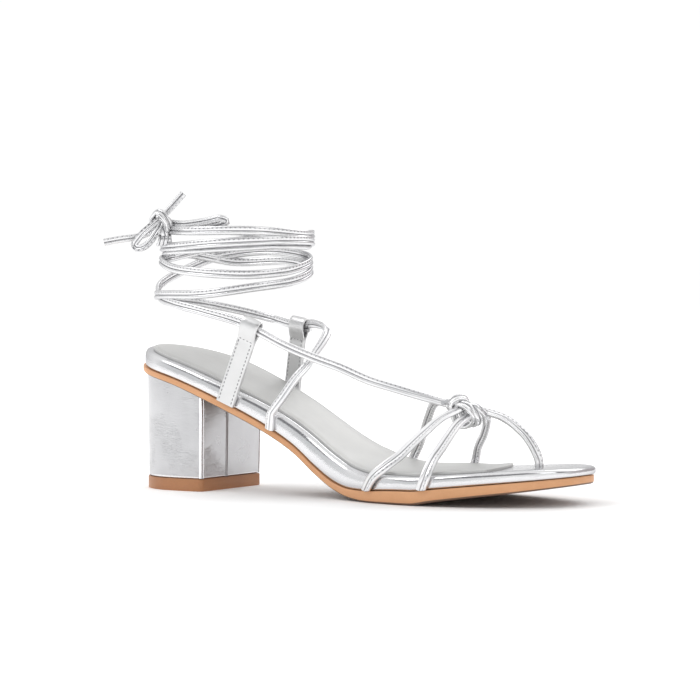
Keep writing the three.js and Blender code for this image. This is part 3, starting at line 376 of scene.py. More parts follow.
def sweep(piece, stops, closed=False, width=STRAP_WIDTH, thickness=STRAP_THICKNESS,
          bead=1, step=1.3, stitched=True, ledge=0):
    """A strap along its stops, each a place and the direction its face looks to."""
    route = Route([p for p, _ in stops], closed)
    facing = Route([unit(out) * 10 for _, out in stops], closed)
    count = max(6, round(route.length / step))
    distance = np.linspace(0, route.length, count + 1)
    if closed:
        distance = distance[:-1]
    marks = route.marks(distance)

    def frames(t):
        centre, along, out = route.at(t), route.along(t), facing.at(t)
        out = out - along * np.sum(out * along, axis=-1, keepdims=True)
        out /= np.linalg.norm(out, axis=-1, keepdims=True)
        across = np.cross(out, along) * bead
        return centre, along, across, out

    centre, along, across, out = frames(marks)
    section = np.array(strap_section(width, thickness))
    size = len(section)
    points = (
        centre[:, None, :] + across[:, None, :] * section[None, :, 0, None]
        + out[:, None, :] * section[None, :, 1, None]
    )
    if ledge:
        for ring in points[: ledge]:
            for p in ring:
                p[2] = max(p[2], outsole_top(p[0]) + 0.1)
    rings = len(marks)
    faces, uv = [], []
    last = rings if closed else rings - 1
    for k in range(last):
        a, b = k * size, ((k + 1) % rings) * size
        s0 = distance[k] / 10
        s1 = (distance[k + 1] if k + 1 < rings else route.length) / 10
        for i in range(size):
            j = (i + 1) % size
            face = (a + i, a + j, b + j, b + i)
            v0, v1 = section[i][0] / 10, section[j][0] / 10
            corner = [(s0, v0), (s0, v1), (s1, v1), (s1, v0)]
            if bead < 0:
                face, corner = face[::-1], corner[::-1]
            faces.append(face)
            uv.append(corner)
    if not closed:
        end = (rings - 1) * size
        first = tuple(range(size))[::-1]
        final = tuple(range(end, end + size))
        if bead < 0:
            first, final = first[::-1], final[::-1]
        faces += [first, final]
        uv += [[(0.5, 0.0)] * size] * 2
    piece.add(points.reshape(-1, 3), faces, uv)
    if stitched:
        for s in np.arange(STITCH_FROM, route.length - 1.5, STITCH_PITCH):
            c, run, side, up = frames(route.marks(s))
            place = c + side * (STITCH_LINE * width / 2)
            deep = 0.78 * thickness / 2
            for face in (1, -1):
                stitch(piece, place + up * (deep * face), run, side, up * face)
    return route


def plate(piece, layers, columns=1):
    """A plate through layers of one paired outline; each layer has its pairs and height."""
    points, rings, sides = [], [], []
    for pairs, height in layers:
        left, right = [], []
        for p, q in pairs:
            points.append((p[0], p[1], height(*p)))
            left.append(len(points) - 1)
            if p is q or p == q:
                right.append(left[-1])
            else:
                points.append((q[0], q[1], height(*q)))
                right.append(len(points) - 1)
        sides.append((left, right))
        ring = left + right[::-1]
        rings.append([v for i, v in enumerate(ring) if i == 0 or (v != ring[i - 1] and v != ring[0])])
    faces = []
    for low, high in zip(rings, rings[1:]):
        n = len(low)
        for i in range(n):
            j = (i + 1) % n
            faces.append((low[i], low[j], high[j], high[i]))
    for which, up in ((0, False), (-1, True)):
        left, right = sides[which]
        lanes = columns if up else 1
        rows = []
        for a, b in zip(left, right):
            if a == b:
                rows.append([a] * (lanes + 1))
                continue
            row = [a]
            pa, pb = np.array(points[a]), np.array(points[b])
            for k in range(1, lanes):
                points.append(tuple(mix(pa, pb, k / lanes)))
                row.append(len(points) - 1)
            rows.append(row + [b])
        for one, two in zip(rows, rows[1:]):
            for k in range(lanes):
                face = []
                for v in (one[k], two[k], two[k + 1], one[k + 1]):
                    if v not in face:
                        face.append(v)
                if len(face) > 2:
                    faces.append(tuple(face if up else face[::-1]))
    uv = [[(points[i][0] / 10, points[i][1] / 10) for i in face] for face in faces]
    piece.add(points, faces, uv)


# Materials
BLACK = (0, 0, 0)
WHITE = (1, 1, 1)
FOIL_METAL = 0.92


def node_material(name):
    m = bpy.data.materials.new(name)
    m.use_nodes = True
    tree = m.node_tree
    shader = next(n for n in tree.nodes if n.type == "BSDF_PRINCIPLED")
    place = tree.nodes.new("ShaderNodeTexCoord").outputs["Object"]
    return m, tree, shader, place


def new_node(tree, kind, **inputs):
    """A node with its inputs set, or joined where the value is another node's output."""
    n = tree.nodes.new("ShaderNode" + kind)
    for name, value in inputs.items():
        socket = n.inputs[name.replace("_", " ")]
        if isinstance(value, bpy.types.NodeSocket):
            tree.links.new(value, socket)
        else:
            socket.default_value = value
    return n


def noise_at(tree, source, scale, detail, roughness=0.5, stretch=None, distortion=0.0,
             turned=(0, 0, 0)):
    if stretch:
        turn = new_node(tree, "Mapping", Vector=source, Scale=stretch, Rotation=turned)
        source = turn.outputs["Vector"]
    return new_node(tree, "TexNoise", Vector=source, Scale=scale, Detail=detail,
                    Roughness=roughness, Distortion=distortion).outputs["Fac"]


def calc(tree, kind, a, b=None):
    n = tree.nodes.new("ShaderNodeMath")
    n.operation = kind
    for k, value in enumerate((a, b)):
        if value is None:
            continue
        if isinstance(value, (int, float)):
            n.inputs[k].default_value = value
        else:
            tree.links.new(value, n.inputs[k])
    return n.outputs[0]


def ramp(tree, source, stops):
    n = tree.nodes.new("ShaderNodeValToRGB")
    e = n.color_ramp.elements
    while len(e) < len(stops):
        e.new(0.5)
    for item, (at, color) in zip(e, stops):
        item.position = at
        item.color = (*color, 1)
    tree.links.new(source, n.inputs["Fac"])
    return n.outputs["Color"]


def multiplied(tree, a, b):
    n = tree.nodes.new("ShaderNodeMix")
    n.data_type = "RGBA"
    n.blend_type = "MULTIPLY"
    n.inputs["Factor"].default_value = 1.0
    tree.links.new(a, n.inputs["A"])
    tree.links.new(b, n.inputs["B"])
    return n.outputs["Result"]


def vector_node(tree, kind, source, other):
    n = tree.nodes.new("ShaderNodeVectorMath")
    n.operation = kind
    tree.links.new(source, n.inputs[0])
    n.inputs[1].default_value = other
    return n.outputs["Value"]


def bump(tree, height, distance, strength, normal=None):
    n = new_node(tree, "Bump", Height=height, Distance=distance, Strength=strength)
    if normal:
        tree.links.new(normal, n.inputs["Normal"])
    return n.outputs["Normal"]


def rough_from(tree, shader, source, low, high):
    n = new_node(tree, "MapRange", Value=source, To_Min=low, To_Max=high)
    tree.links.new(n.outputs["Result"], shader.inputs["Roughness"])


def foil_grain(tree, place):
    return bump(tree, noise_at(tree, place, 2600, 3, 0.6), 0.00004, 0.5)


def foil(name, light, dark, rough, wrinkle=0.00010, shaded_grooves=False, shaded_holes=False, stretch=None):
    """Foil leather: a metallic film over fine grain, with soft creases and duller patches; on straps, painted
    shade along the groove beside the bead and in the stitch holes.
    """
    m, tree, shader, place = node_material(name)
    broad = noise_at(tree, place, 60, 3)
    crease = noise_at(tree, place, 420, 5, 0.62, stretch, 0.6)
    color = ramp(tree, broad, [(0.30, dark), (0.62, light)])
    if shaded_grooves:
        uv = tree.nodes.new("ShaderNodeUVMap").outputs["UV"]
        split = tree.nodes.new("ShaderNodeSeparateXYZ")
        tree.links.new(uv, split.inputs[0])
        run, across = split.outputs["X"], split.outputs["Y"]
        # Painted shade along the groove between the bead and the flange.
        off = calc(tree, "ABSOLUTE", calc(tree, "SUBTRACT", across, 0.018))
        seam = ramp(tree, calc(tree, "MULTIPLY", off, 10), [(0.10, (0.56, 0.56, 0.57)), (0.38, WHITE)])
        # Painted shade in the stitch holes, in the gaps between stitches on the stitch line.
        first_gap = STITCH_FROM / 10 - STITCH_PITCH / 20
        beat = calc(tree, "DIVIDE", calc(tree, "SUBTRACT", run, first_gap), STITCH_PITCH / 10)
        middle = calc(tree, "ABSOLUTE", calc(tree, "SUBTRACT", calc(tree, "FRACT", beat), 0.5))
        edge = calc(tree, "SUBTRACT", 0.5, middle)
        line = calc(tree, "ABSOLUTE", calc(tree, "ADD", across, -STITCH_LINE * STRAP_WIDTH / 20))
        hole = calc(tree, "MAXIMUM", edge, calc(tree, "MULTIPLY", line, 6.0))
        painted_hole_shade = ramp(tree, hole, [(0.08, (0.45, 0.45, 0.46)), (0.22, WHITE)])
        for layer in (seam, painted_hole_shade) if shaded_holes else (seam,):
            color = multiplied(tree, color, layer)
    tree.links.new(color, shader.inputs["Base Color"])
    shader.inputs["Metallic"].default_value = FOIL_METAL
    shader.inputs["Specular Tint"].default_value = (0.6, 0.6, 0.61, 1)
    rough_from(tree, shader, broad, rough * 0.75, rough * 1.35)
    first = foil_grain(tree, place)
    tree.links.new(bump(tree, crease, wrinkle, 0.6, first), shader.inputs["Normal"])
    return m


SILVER = (0.82, 0.82, 0.825)
SILVER_DULL = (0.72, 0.72, 0.73)
strap_foil = foil("strap foil", SILVER, SILVER_DULL, 0.24, shaded_grooves=True, shaded_holes=True)
wrap_foil = foil("wrap foil", SILVER, SILVER_DULL, 0.24, shaded_grooves=True)
# Lighter copies of the one strap foil, which is painted light: the vamp straps, thong and knot are painted
# brighter than the ties, and the palest copy is brighter still.
SILVER_LIT = (0.90, 0.90, 0.905)
SILVER_LIT_DULL = (0.78, 0.78, 0.79)
vamp_foil_lit = foil("vamp foil painted light", SILVER_LIT, SILVER_LIT_DULL, 0.24, shaded_grooves=True, shaded_holes=True)
strap_foil_painted_light = foil("strap foil painted light", (0.97, 0.97, 0.975), (0.88, 0.88, 0.89), 0.30,
                 shaded_grooves=True, shaded_holes=True)
vamp_wrap_foil_lit = foil("vamp wrap foil painted light", SILVER_LIT, SILVER_LIT_DULL, 0.24, shaded_grooves=True)
band_foil = foil("loop foil", (0.76, 0.76, 0.76), (0.69, 0.69, 0.69), 0.34)
bed_foil = foil("footbed foil", (0.76, 0.76, 0.77), (0.70, 0.70, 0.71), 0.13, 0.00006,
                stretch=(0.35, 1, 1))
# A much brighter foil for the heel's folds: a painted highlight.
fold_highlight_foil = foil("fold foil painted highlight", (0.93, 0.93, 0.94), (0.86, 0.86, 0.87), 0.14, 0.00004)


def crinkled():
    """Heel foil: smooth, with patches of fine creases that cross each other at a slant."""
    m, tree, shader, place = node_material("heel foil")
    broad = noise_at(tree, place, 55, 2)
    patch = noise_at(tree, place, 62, 2, 0.5)
    patch = ramp(tree, patch, [(0.47, (0.10, 0.10, 0.10)), (0.60, WHITE)])
    one = noise_at(tree, place, 900, 4, 0.6, (0.25, 0.25, 1), 0.5, (0.5, -0.7, 0.3))
    two = noise_at(tree, place, 980, 4, 0.6, (0.25, 0.25, 1), 0.5, (-0.5, 0.8, -0.4))
    level = calc(tree, "SUBTRACT", calc(tree, "ADD", one, two), 1.0)
    height = calc(tree, "MULTIPLY", level, patch)
    wave = noise_at(tree, place, 120, 3, 0.5)
    tree.links.new(ramp(tree, broad, [(0.30, (0.53, 0.53, 0.54)), (0.62, (0.60, 0.60, 0.61))]),
              shader.inputs["Base Color"])
    shader.inputs["Metallic"].default_value = FOIL_METAL
    rough_from(tree, shader, broad, 0.24, 0.34)
    second = bump(tree, wave, 0.00016, 0.5, foil_grain(tree, place))
    tree.links.new(bump(tree, height, 0.00060, 0.8, second), shader.inputs["Normal"])
    return m


heel_foil = crinkled()


def satin():
    """The sock lining: dull silver synthetic with a faint grain along the foot."""
    m, tree, shader, place = node_material("sock satin")
    broad = noise_at(tree, place, 28, 3)
    streak = noise_at(tree, place, 500, 4, 0.6, (0.12, 1, 1))
    grain = noise_at(tree, place, 3200, 2)
    tree.links.new(ramp(tree, broad, [(0.30, (0.53, 0.53, 0.52)), (0.70, (0.60, 0.60, 0.59))]),
              shader.inputs["Base Color"])
    shader.inputs["Metallic"].default_value = 0.35
    rough_from(tree, shader, streak, 0.42, 0.60)
    first = bump(tree, grain, 0.00004, 0.6)
    tree.links.new(bump(tree, streak, 0.00006, 0.5, first), shader.inputs["Normal"])
    return m


def rubber(name, light, dark, rough):
    """Moulded sole material, a little darker where it is rubbed."""
    m, tree, shader, place = node_material(name)
    broad = noise_at(tree, place, 45, 3)
    fine = noise_at(tree, place, 900, 4, 0.6)
    both = calc(tree, "ADD", calc(tree, "MULTIPLY", broad, 0.75), calc(tree, "MULTIPLY", fine, 0.25))
    tree.links.new(ramp(tree, both, [(0.32, dark), (0.64, light)]), shader.inputs["Base Color"])
    rough_from(tree, shader, fine, rough * 0.85, rough * 1.15)
    tree.links.new(bump(tree, fine, 0.00008, 0.5), shader.inputs["Normal"])
    return m


sole_tan = rubber("outsole tan", (0.76, 0.40, 0.20), (0.66, 0.33, 0.155), 0.5)
# Dark brown for the outsole's downward faces: painted shade under the sole's rounded edge.
sole_under_shade = rubber("outsole underside painted shade", (0.22, 0.13, 0.085), (0.17, 0.10, 0.065), 0.6)
tip_brown = rubber("tip brown", (0.47, 0.215, 0.095), (0.38, 0.16, 0.068), 0.45)


def plain(name, color, rough, metal=0.0):
    """Thread, and the painted shade of the loop stitches and of seams, with a little unevenness."""
    m, tree, shader, place = node_material(name)
    fine = noise_at(tree, place, 1800, 3)
    low = tuple(c * 0.82 for c in color)
    tree.links.new(ramp(tree, fine, [(0.35, low), (0.65, color)]), shader.inputs["Base Color"])
    shader.inputs["Metallic"].default_value = metal
    rough_from(tree, shader, fine, rough * 0.9, rough * 1.1)
    tree.links.new(bump(tree, fine, 0.00005, 0.5), shader.inputs["Normal"])
    return m


thread = plain("thread", (0.80, 0.80, 0.81), 0.5, 0.4)
# The loops' stitches are dark grey: painted stitch shadow.
loop_stitch_shade = plain("loop thread painted shade", (0.30, 0.30, 0.31), 0.55, 0.2)
# Painted shade for the crease beside the heel's folds and the dip of the breast seam.
seam_shade = plain("seam shadow", (0.22, 0.17, 0.18), 0.7)

# The knots' own axes: to the toe end, up, and out to the side
TURN = math.radians(32)
KNOT_AXES = np.array([
    (math.cos(TURN), math.sin(TURN), 0),
    (0, 0, 1),
    (math.sin(TURN), -math.cos(TURN), 0),
])


def from_knot(centre, size, row):
    return np.asarray(centre) + np.asarray(row) @ KNOT_AXES * size


def knot_ring(centre, size, rows):
    places = np.array([from_knot(centre, size, row) for row in rows])
    middle = places.mean(axis=0)
    return [(p, unit(p - middle)) for p in places]


UPPER_DRAW = 2.6                  # the upper turns are drawn in at the back outer side
UPPER_FROM = 0.45                 # height share where that starts
UPPER_OVER = 0.25                 # and the share over which it grows


def ankle(row):
    """A row round the ankle: degrees, height share, and layers outside the oval."""
    a = math.radians(row[0])
    out = unit((math.cos(a) * ANKLE_WIDE, math.sin(a) * ANKLE_LONG, 0))
    p = np.array([
        ANKLE_CENTRE + math.cos(a) * ANKLE_LONG / 2,
        math.sin(a) * ANKLE_WIDE / 2,
        mix(loop_top, ankle_top, row[1]),
    ])
    upper = min(1, max(0, (row[1] - UPPER_FROM) / UPPER_OVER))
    p += KNOT_AXES[0] * UPPER_DRAW * upper * max(0, -np.dot(out, KNOT_AXES[0]))
    return p + out * row[2] * STRAP_THICKNESS, out


bow_centre = ankle((-131, 1.09, 1.0))[0]

# Bow: two lengths of the tie, each a loop and then an end, both held in the bow's knot
LOOP_FRONT = [
    (-0.11, 0.08, 0.05), (-0.33, -0.11, 0.14), (-0.54, -0.30, 0.17), (-0.68, -0.46, 0.14),
    (-0.77, -0.61, 0.11), (-0.68, -0.70, 0.17), (-0.49, -0.655, 0.25), (-0.30, -0.49, 0.28),
    (-0.16, -0.27, 0.22), (-0.05, -0.07, 0.08),
]
END_UP = [(0.03, 0.20, 0.00), (0.16, 0.36, -0.03), (0.37, 0.59, -0.03), (0.59, 0.84, 0.00)]
LOOP_BACK = [
    (-132, 1.09, -0.5), (-112, 1.07, -1.5), (-88, 1.10, -1.7), (-74, 1.13, -1.7),
    (-69, 1.10, -2.0), (-77, 1.06, -2.5), (-100, 1.03, -2.9), (-122, 1.03, -2.6),
    (-140, 1.06, -1.5),
]
END_DOWN = [
    (-0.11, -0.10, -0.07), (-0.28, -0.18, -0.08), (-0.41, -0.23, -0.08),
    (-0.69, -0.27, -0.03), (-0.96, -0.32, 0.00),
]
CORD_WIDTH = 3.5
CORD_THICKNESS = 2.1


def bow_cord(name, stops, nodes_replaced):
    piece = Piece()
    route = sweep(piece, stops, width=CORD_WIDTH, thickness=CORD_THICKNESS, step=0.8)
    thing = piece.make(name, [strap_foil, thread])
    path = route.at(route.marks(np.linspace(0, route.length, 60)))
    path[:, 0] -= REST
    path /= 1000
    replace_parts(thing, *nodes_replaced)


side_axis = KNOT_AXES[2]
front_stops = [
    (from_knot(bow_centre, BOW_REACH, row), side_axis * (1 - 0.2 * math.sin(k)) + (0, 0, 0.25))
    for k, row in enumerate(LOOP_FRONT)
]
front_stops += [
    (from_knot(bow_centre, END_UP_LENGTH, row), side_axis + np.array((0.0, 0.0, 0.1)))
    for row in END_UP
]
bow_cord("bow_tie_front", front_stops, ["bow_loop_front", "tie_end_up"])
back_stops = [ankle(row) for row in LOOP_BACK]
back_stops += [(from_knot(bow_centre, END_DOWN_LENGTH, row), side_axis) for row in END_DOWN]
bow_cord("bow_tie_back", back_stops, ["bow_loop_back", "tie_end_down"])

# The bow's knot: its front turn, the small coil below, the turn between and the core
BOW_RING = [
    (-0.59, 0.40, 0.00), (-0.36, 0.64, 0.19), (-0.06, 0.55, 0.40), (0.21, 0.25, 0.50),
    (0.40, -0.12, 0.44), (0.40, -0.43, 0.19), (0.06, -0.52, -0.31), (-0.37, -0.12, -0.56),
    (-0.65, 0.16, -0.35),
]
bow_knot = Piece()
sweep(bow_knot, knot_ring(bow_centre, BOW_SIZE, BOW_RING), closed=True, step=0.7, stitched=False)
COIL_PLACES = 31
COIL_HEIGHT = -1.08
coil = []
for k in range(COIL_PLACES):
    a = math.radians(-100 + 36 * k)
    along = -0.24 + 0.72 * k / (COIL_PLACES - 1) + 0.06 * math.cos(a)
    rim = from_knot(bow_centre, BOW_SIZE, (along, COIL_HEIGHT + 0.27 * math.sin(a), 0.30 * math.cos(a)))
    coil.append((rim, unit(rim - from_knot(bow_centre, BOW_SIZE, (along, COIL_HEIGHT, 0)))))
sweep(bow_knot, coil, width=2.6, thickness=1.7, step=0.7, stitched=False)
LINK = [(-0.10, 0.20, 0.05), (0.00, -0.25, 0.10), (0.10, -0.62, 0.16), (0.16, -0.86, 0.12)]
sweep(bow_knot, [(from_knot(bow_centre, BOW_SIZE, row), side_axis) for row in LINK],
      width=4.0, thickness=2.3, step=0.7, stitched=False)
CORE = [
    (-0.30, 0.20, -0.20), (0.0, 0.26, 0.05), (0.22, 0.05, 0.10), (0.20, -0.24, -0.05),
    (-0.12, -0.16, -0.30),
]
sweep(bow_knot, knot_ring(bow_centre, BOW_SIZE, CORE), closed=True, width=4.4, thickness=2.4,
      step=0.7, stitched=False)
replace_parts(bow_knot.make("bow_knot_wraps", [wrap_foil]), "bow_knot")

# Straps of the vamp: rows are shares along, across and up, and the lean of the face
LATERAL_FRONT = [
    (0.757, -0.431, 0.25, -0.90), (0.760, -0.359, 0.43, -0.82), (0.760, -0.275, 0.61, -0.68),
    (0.758, -0.155, 0.82, -0.45), (0.760, -0.040, 0.95, -0.20),
]
LATERAL_BACK = [
    (0.655, -0.437, 0.15, -0.85), (0.674, -0.377, 0.32, -0.70), (0.687, -0.305, 0.51, -0.55),
    (0.702, -0.225, 0.715, -0.40), (0.718, -0.150, 0.90, -0.25), (0.742, -0.060, 1.05, -0.10),
]
MEDIAL_BACK = [
    (0.567, 0.365, 0.33, 0.85), (0.587, 0.311, 0.59, 0.70), (0.613, 0.239, 0.88, 0.50),
    (0.642, 0.155, 1.09, 0.30), (0.681, 0.084, 1.16, 0.10), (0.725, 0.018, 1.12, 0.00),
]
MEDIAL_FRONT = [
    (0.679, 0.478, 0.31, 0.85), (0.707, 0.395, 0.53, 0.80), (0.735, 0.287, 0.73, 0.72),
    (0.764, 0.144, 0.91, 0.60),
]
THONG = [
    (0.785, 0.048, 1.00, 0), (0.804, 0.090, 0.93, 0), (0.822, 0.120, 0.82, 0),
    (0.838, 0.141, 0.68, 0), (0.852, 0.151, 0.54, 0), (0.870, 0.160, 0.26, 0),
]
MAIN_WRAP = [
    (-0.54, 0.24, -0.10), (-0.34, 0.41, 0.22), (0.00, 0.27, 0.45), (0.24, 0.00, 0.50),
    (0.32, -0.34, 0.38), (0.10, -0.63, 0.12), (-0.24, -0.66, -0.22), (-0.50, -0.42, -0.42),
    (-0.60, -0.05, -0.38),
]
TIE_EYE = [
    (-0.83, 0.20, 0.10), (-0.78, 0.49, 0.12), (-0.49, 0.68, 0.10), (-0.15, 0.68, 0.00),
    (0.02, 0.46, -0.16), (-0.16, 0.22, -0.34), (-0.55, 0.06, -0.22),
]
MIDDLE_WRAP = [
    (0.15, 0.30, 0.30), (0.42, 0.02, 0.42), (0.53, -0.34, 0.34), (0.42, -0.58, 0.00),
    (0.05, -0.40, -0.40), (-0.20, 0.00, -0.45), (-0.10, 0.30, -0.10),
]
TOE_WRAP = [
    (0.88, -0.45, -0.30), (0.82, -0.10, 0.22), (0.62, 0.14, 0.34), (0.38, 0.34, 0.18),
    (0.05, 0.36, -0.12),
]
knot_centre = np.array([KNOT_AT * LENGTH, -0.012 * BALL_WIDTH, knot_height])


def in_knot(row, facing=None):
    p = from_knot(knot_centre, KNOT_SIZE, row)
    return p, unit(p - knot_centre) if facing is None else np.array(facing, float)


def over_foot(row):
    along, across, high, lean = row
    x = along * LENGTH
    p = np.array([x, across * BALL_WIDTH, mix(footbed_top(x), knot_height, high)])
    return p, unit((0.15, lean, 1 - abs(lean)))


def strap_foot(ledge, rim, side):
    """Where a strap tucks in between footbed and outsole."""
    stops = []
    for at, up in ((ledge, 0), (rim, 0.86)):
        point, out = edge_at(at * LENGTH, side)
        x, y = point + out * (GAP + STRAP_THICKNESS / 2)
        stops.append((np.array([x, y, mix(footbed_bottom(x) - 0.3, footbed_top(x), up)]),
                      np.array([out[0], out[1], 0])))
    return stops


thong_x = 0.876 * LENGTH
thong_y = 0.163 * BALL_WIDTH
thong_stops = [in_knot((0.30, 0.30, -0.05), (0, 0, 1))]
for k, row in enumerate(THONG):
    down = k / (len(THONG) - 1)
    thong_stops.append((over_foot(row)[0], unit(mix(KNOT_AXES[1], KNOT_AXES[2], 0.5 + 0.3 * down))))
thong_stops += [
    (np.array([thong_x, thong_y, footbed_top(thong_x) + up]), unit(KNOT_AXES[2] + (1, 0, 0)))
    for up in (STRAP_WIDTH / 2, -1.6)
]
NEAR_STRAP_SHARE = 1.15           # the two outer straps are a little wider
vamp = [
    ("strap_lateral_back", strap_foot(0.612, 0.632, -1) + [over_foot(r) for r in LATERAL_BACK], 1, 3),
    ("strap_lateral_front", strap_foot(0.742, 0.751, -1) + [over_foot(r) for r in LATERAL_FRONT], 1, 3),
    ("strap_medial_back", strap_foot(0.532, 0.547, 1) + [over_foot(r) for r in MEDIAL_BACK]
     + [in_knot((-0.20, 0.30, 0.05), (0, 0, 1))], -1, 3),
    ("strap_medial_front", strap_foot(0.645, 0.662, 1) + [over_foot(r) for r in MEDIAL_FRONT]
     + [in_knot(r) for r in TOE_WRAP], -1, 3),
    ("toe_thong", thong_stops, -1, 0),
]
for name, stops, bead, ledge in vamp:
    piece = Piece()
    near = name.startswith("strap_lateral")
    sweep(piece, stops, bead=bead, ledge=ledge, stitched=name != "toe_thong",
          width=STRAP_WIDTH * (NEAR_STRAP_SHARE if near else 1))
    # The near straps take the palest copy of the foil: painted light.
    face_foil = strap_foil_painted_light if near else vamp_foil_lit
    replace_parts(piece.make(name, [face_foil, thread]), "vamp_straps")
vamp_knot = Piece()
for rows in (MAIN_WRAP, TIE_EYE, MIDDLE_WRAP):
    sweep(vamp_knot, knot_ring(knot_centre, KNOT_SIZE, rows), closed=True, step=0.7, stitched=False)
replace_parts(vamp_knot.make("vamp_knot_wraps", [vamp_wrap_foil_lit]), "vamp_straps")


# Stitched loops for the ties
LOOP_STITCH_PITCH = 2.0
LOOP_STITCH_LENGTH = 1.35
LOOP_STITCH_MARGIN = 1.35
NECK_STITCH_DROP = 1.6


def tie_loop(name, node, base, top, inside, side):
    """A band folded over into a tunnel, with stitches along both edges and across its neck."""
    point, out = edge_at(base * LENGTH, side)
    low = np.array([*(point + out * (GAP + LOOP_LEATHER)), 0.0])
    trim = 2.5
    low[2] = footbed_bottom(low[0]) - trim
    high = np.array([top * LENGTH, side * inside * ANKLE_WIDE / 2, loop_top])
    length = np.linalg.norm(high - low)
    up = (high - low) / length
    face = np.array([out[0], out[1], 0.0])
    face = unit(face - up * face.dot(up))
    run = np.cross(face, up)
    start = trim / up[2]
    half = LOOP_LEATHER / 2
    inner = STRAP_THICKNESS / 2 + 2 * GAP
    reach = inner + half
    neck = length - LOOP_TUNNEL - 2 * LOOP_LEATHER
    mid = neck + (length - neck) / 2
    rows = [(half, start), (half, start + 6), (half, mix(start, neck, 0.5)), (half, neck - 5.0),
            (half + 0.05, neck - 1.4), (reach * 0.72, neck + 1.2), (reach, mid - LOOP_TUNNEL * 0.12),
            (reach * 0.97, mid + LOOP_TUNNEL * 0.24), (reach * 0.62, length - 1.3), (0, length - half)]
    rows += [(-a, b) for a, b in rows[-2::-1]]
    route = Route([low + face * a + up * b for a, b in rows])
    steps = round(route.length / 1.2)
    marks = route.marks(np.linspace(0, route.length, steps + 1))
    places, along = route.at(marks), route.along(marks)
    wide, deep = LOOP_WIDTH / 2, half
    section = [(wide, 0), (wide - 0.12, 0.62), (wide - 0.5, 0.96), (wide * 0.55, 1.0), (0, 1.04),
               (-wide * 0.55, 1.0), (-wide + 0.5, 0.96), (-wide + 0.12, 0.62), (-wide, 0)]
    section += [(a, -b) for a, b in section[-2:0:-1]]
    size = len(section)
    points = []
    for c, t in zip(places, along):
        normal = unit(np.cross(t, run))
        if normal.dot(face) * t.dot(up) < 0:
            normal = -normal
        for a, b in section:
            points.append(c + run * a + normal * b * deep)
    faces = []
    for k in range(steps):
        for i in range(size):
            j = (i + 1) % size
            faces.append((k * size + i, (k + 1) * size + i, (k + 1) * size + j, k * size + j))
    faces += [tuple(range(size)), tuple(range(steps * size, (steps + 1) * size))[::-1]]
    piece = Piece()
    piece.add(points, faces)
    neck_row = neck - NECK_STITCH_DROP
    for out_side in (1, -1):
        lift = face * out_side * (2 * half + 0.02)
        for row in (-1, 1):
            edge = low + run * (row * (wide - LOOP_STITCH_MARGIN)) + lift
            for s in np.arange(start + 1.8, neck_row, LOOP_STITCH_PITCH):
                stitch(piece, edge + up * s, up, run, face * out_side, LOOP_STITCH_LENGTH)
        for s in np.arange(-wide + 1.5, wide - 1.2, LOOP_STITCH_PITCH):
            centre = low + up * neck_row + run * (s + 0.35) + lift
            stitch(piece, centre, run, up, face * out_side, LOOP_STITCH_LENGTH)
    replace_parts(piece.make(name, [band_foil, loop_stitch_shade]), node)
    forward = run * np.sign(run[0])
    return low + up * mid, forward


lateral_tunnel = tie_loop("loop_band_lateral", "lateral_loop", 0.256, 0.334, 0.94, -1)
medial_tunnel = tie_loop("loop_band_medial", "medial_loop", 0.257, 0.286, 0.83, 1)

# Ties round the ankle
INSTEP_TIE = [
    (0.716, -0.033, 0.08, -0.25), (0.670, -0.073, 0.15, -0.45), (0.614, -0.122, 0.24, -0.60),
    (0.557, -0.170, 0.335, -0.70), (0.502, -0.218, 0.467, -0.80), (0.448, -0.264, 0.576, -0.90),
    (0.392, -0.312, 0.708, -0.95),
]
INSTEP_TIE_TURNS = [
    (-84, 0.07, 0.0), (-113, 0.16, 0.0), (-142, 0.24, 0.0), (-160, 0.35, 0.3), (-190, 0.50, 0.3),
    (-227, 0.70, 0.0), (-266, 0.77, 0.0), (-305, 0.72, 0.0), (-344, 0.63, 0.0), (-379, 0.53, 0.0),
    (-411, 0.49, 0.0), (-450, 0.52, 0.0), (-478, 0.57, 0.0), (-502, 0.65, 0.5), (-534, 0.69, 0.0),
    (-580, 0.79, 0.0), (-625, 0.85, 0.0), (-681, 0.86, 0.0), (-711, 0.88, 0.5), (-745, 0.88, 0.5),
    (-793, 0.85, 0.5), (-835, 0.81, 0.5), (-886, 0.81, 0.5), (-949, 0.87, 0.5), (-1000, 0.95, 0.5),
    (-1040, 0.96, 0.5), (-1080, 0.95, 0.0), (-1126, 0.99, 0.0), (-1176, 0.99, 0.0),
    (-1222, 1.01, 0.5),
]
WAIST_TIE = [
    (0.368, -0.318, 0.03, -1.00), (0.389, -0.310, 0.22, -0.95), (0.412, -0.287, 0.43, -0.85),
    (0.434, -0.242, 0.60, -0.75), (0.437, -0.179, 0.70, -0.55), (0.436, -0.108, 0.78, -0.30),
    (0.429, -0.024, 0.86, 0.00), (0.408, 0.060, 0.90, 0.30), (0.368, 0.155, 0.92, 0.55),
    (0.326, 0.251, 0.91, 0.80),
]
WAIST_TIE_TURNS = [
    (88, -0.04, 0.0), (110, 0.04, 0.0), (142, 0.14, 0.0), (177, 0.20, 0.0), (205, 0.25, 0.6),
    (240, 0.26, 0.0), (276, 0.27, 0.0), (310, 0.34, 0.0), (345, 0.41, 0.0), (371, 0.49, 0.0),
    (401, 0.58, 0.0), (440, 0.65, 0.0), (480, 0.64, 0.0), (518, 0.73, 0.0), (550, 0.74, 0.0),
    (583, 0.76, 0.0), (624, 0.78, 0.0), (664, 0.81, 0.0), (698, 0.83, 0.0), (730, 0.83, 0.0),
    (780, 0.88, 0.0), (820, 0.99, 0.0), (860, 1.02, 0.0), (900, 1.04, 0.3), (926, 1.04, 0.7),
    (945, 1.07, 0.9),
]


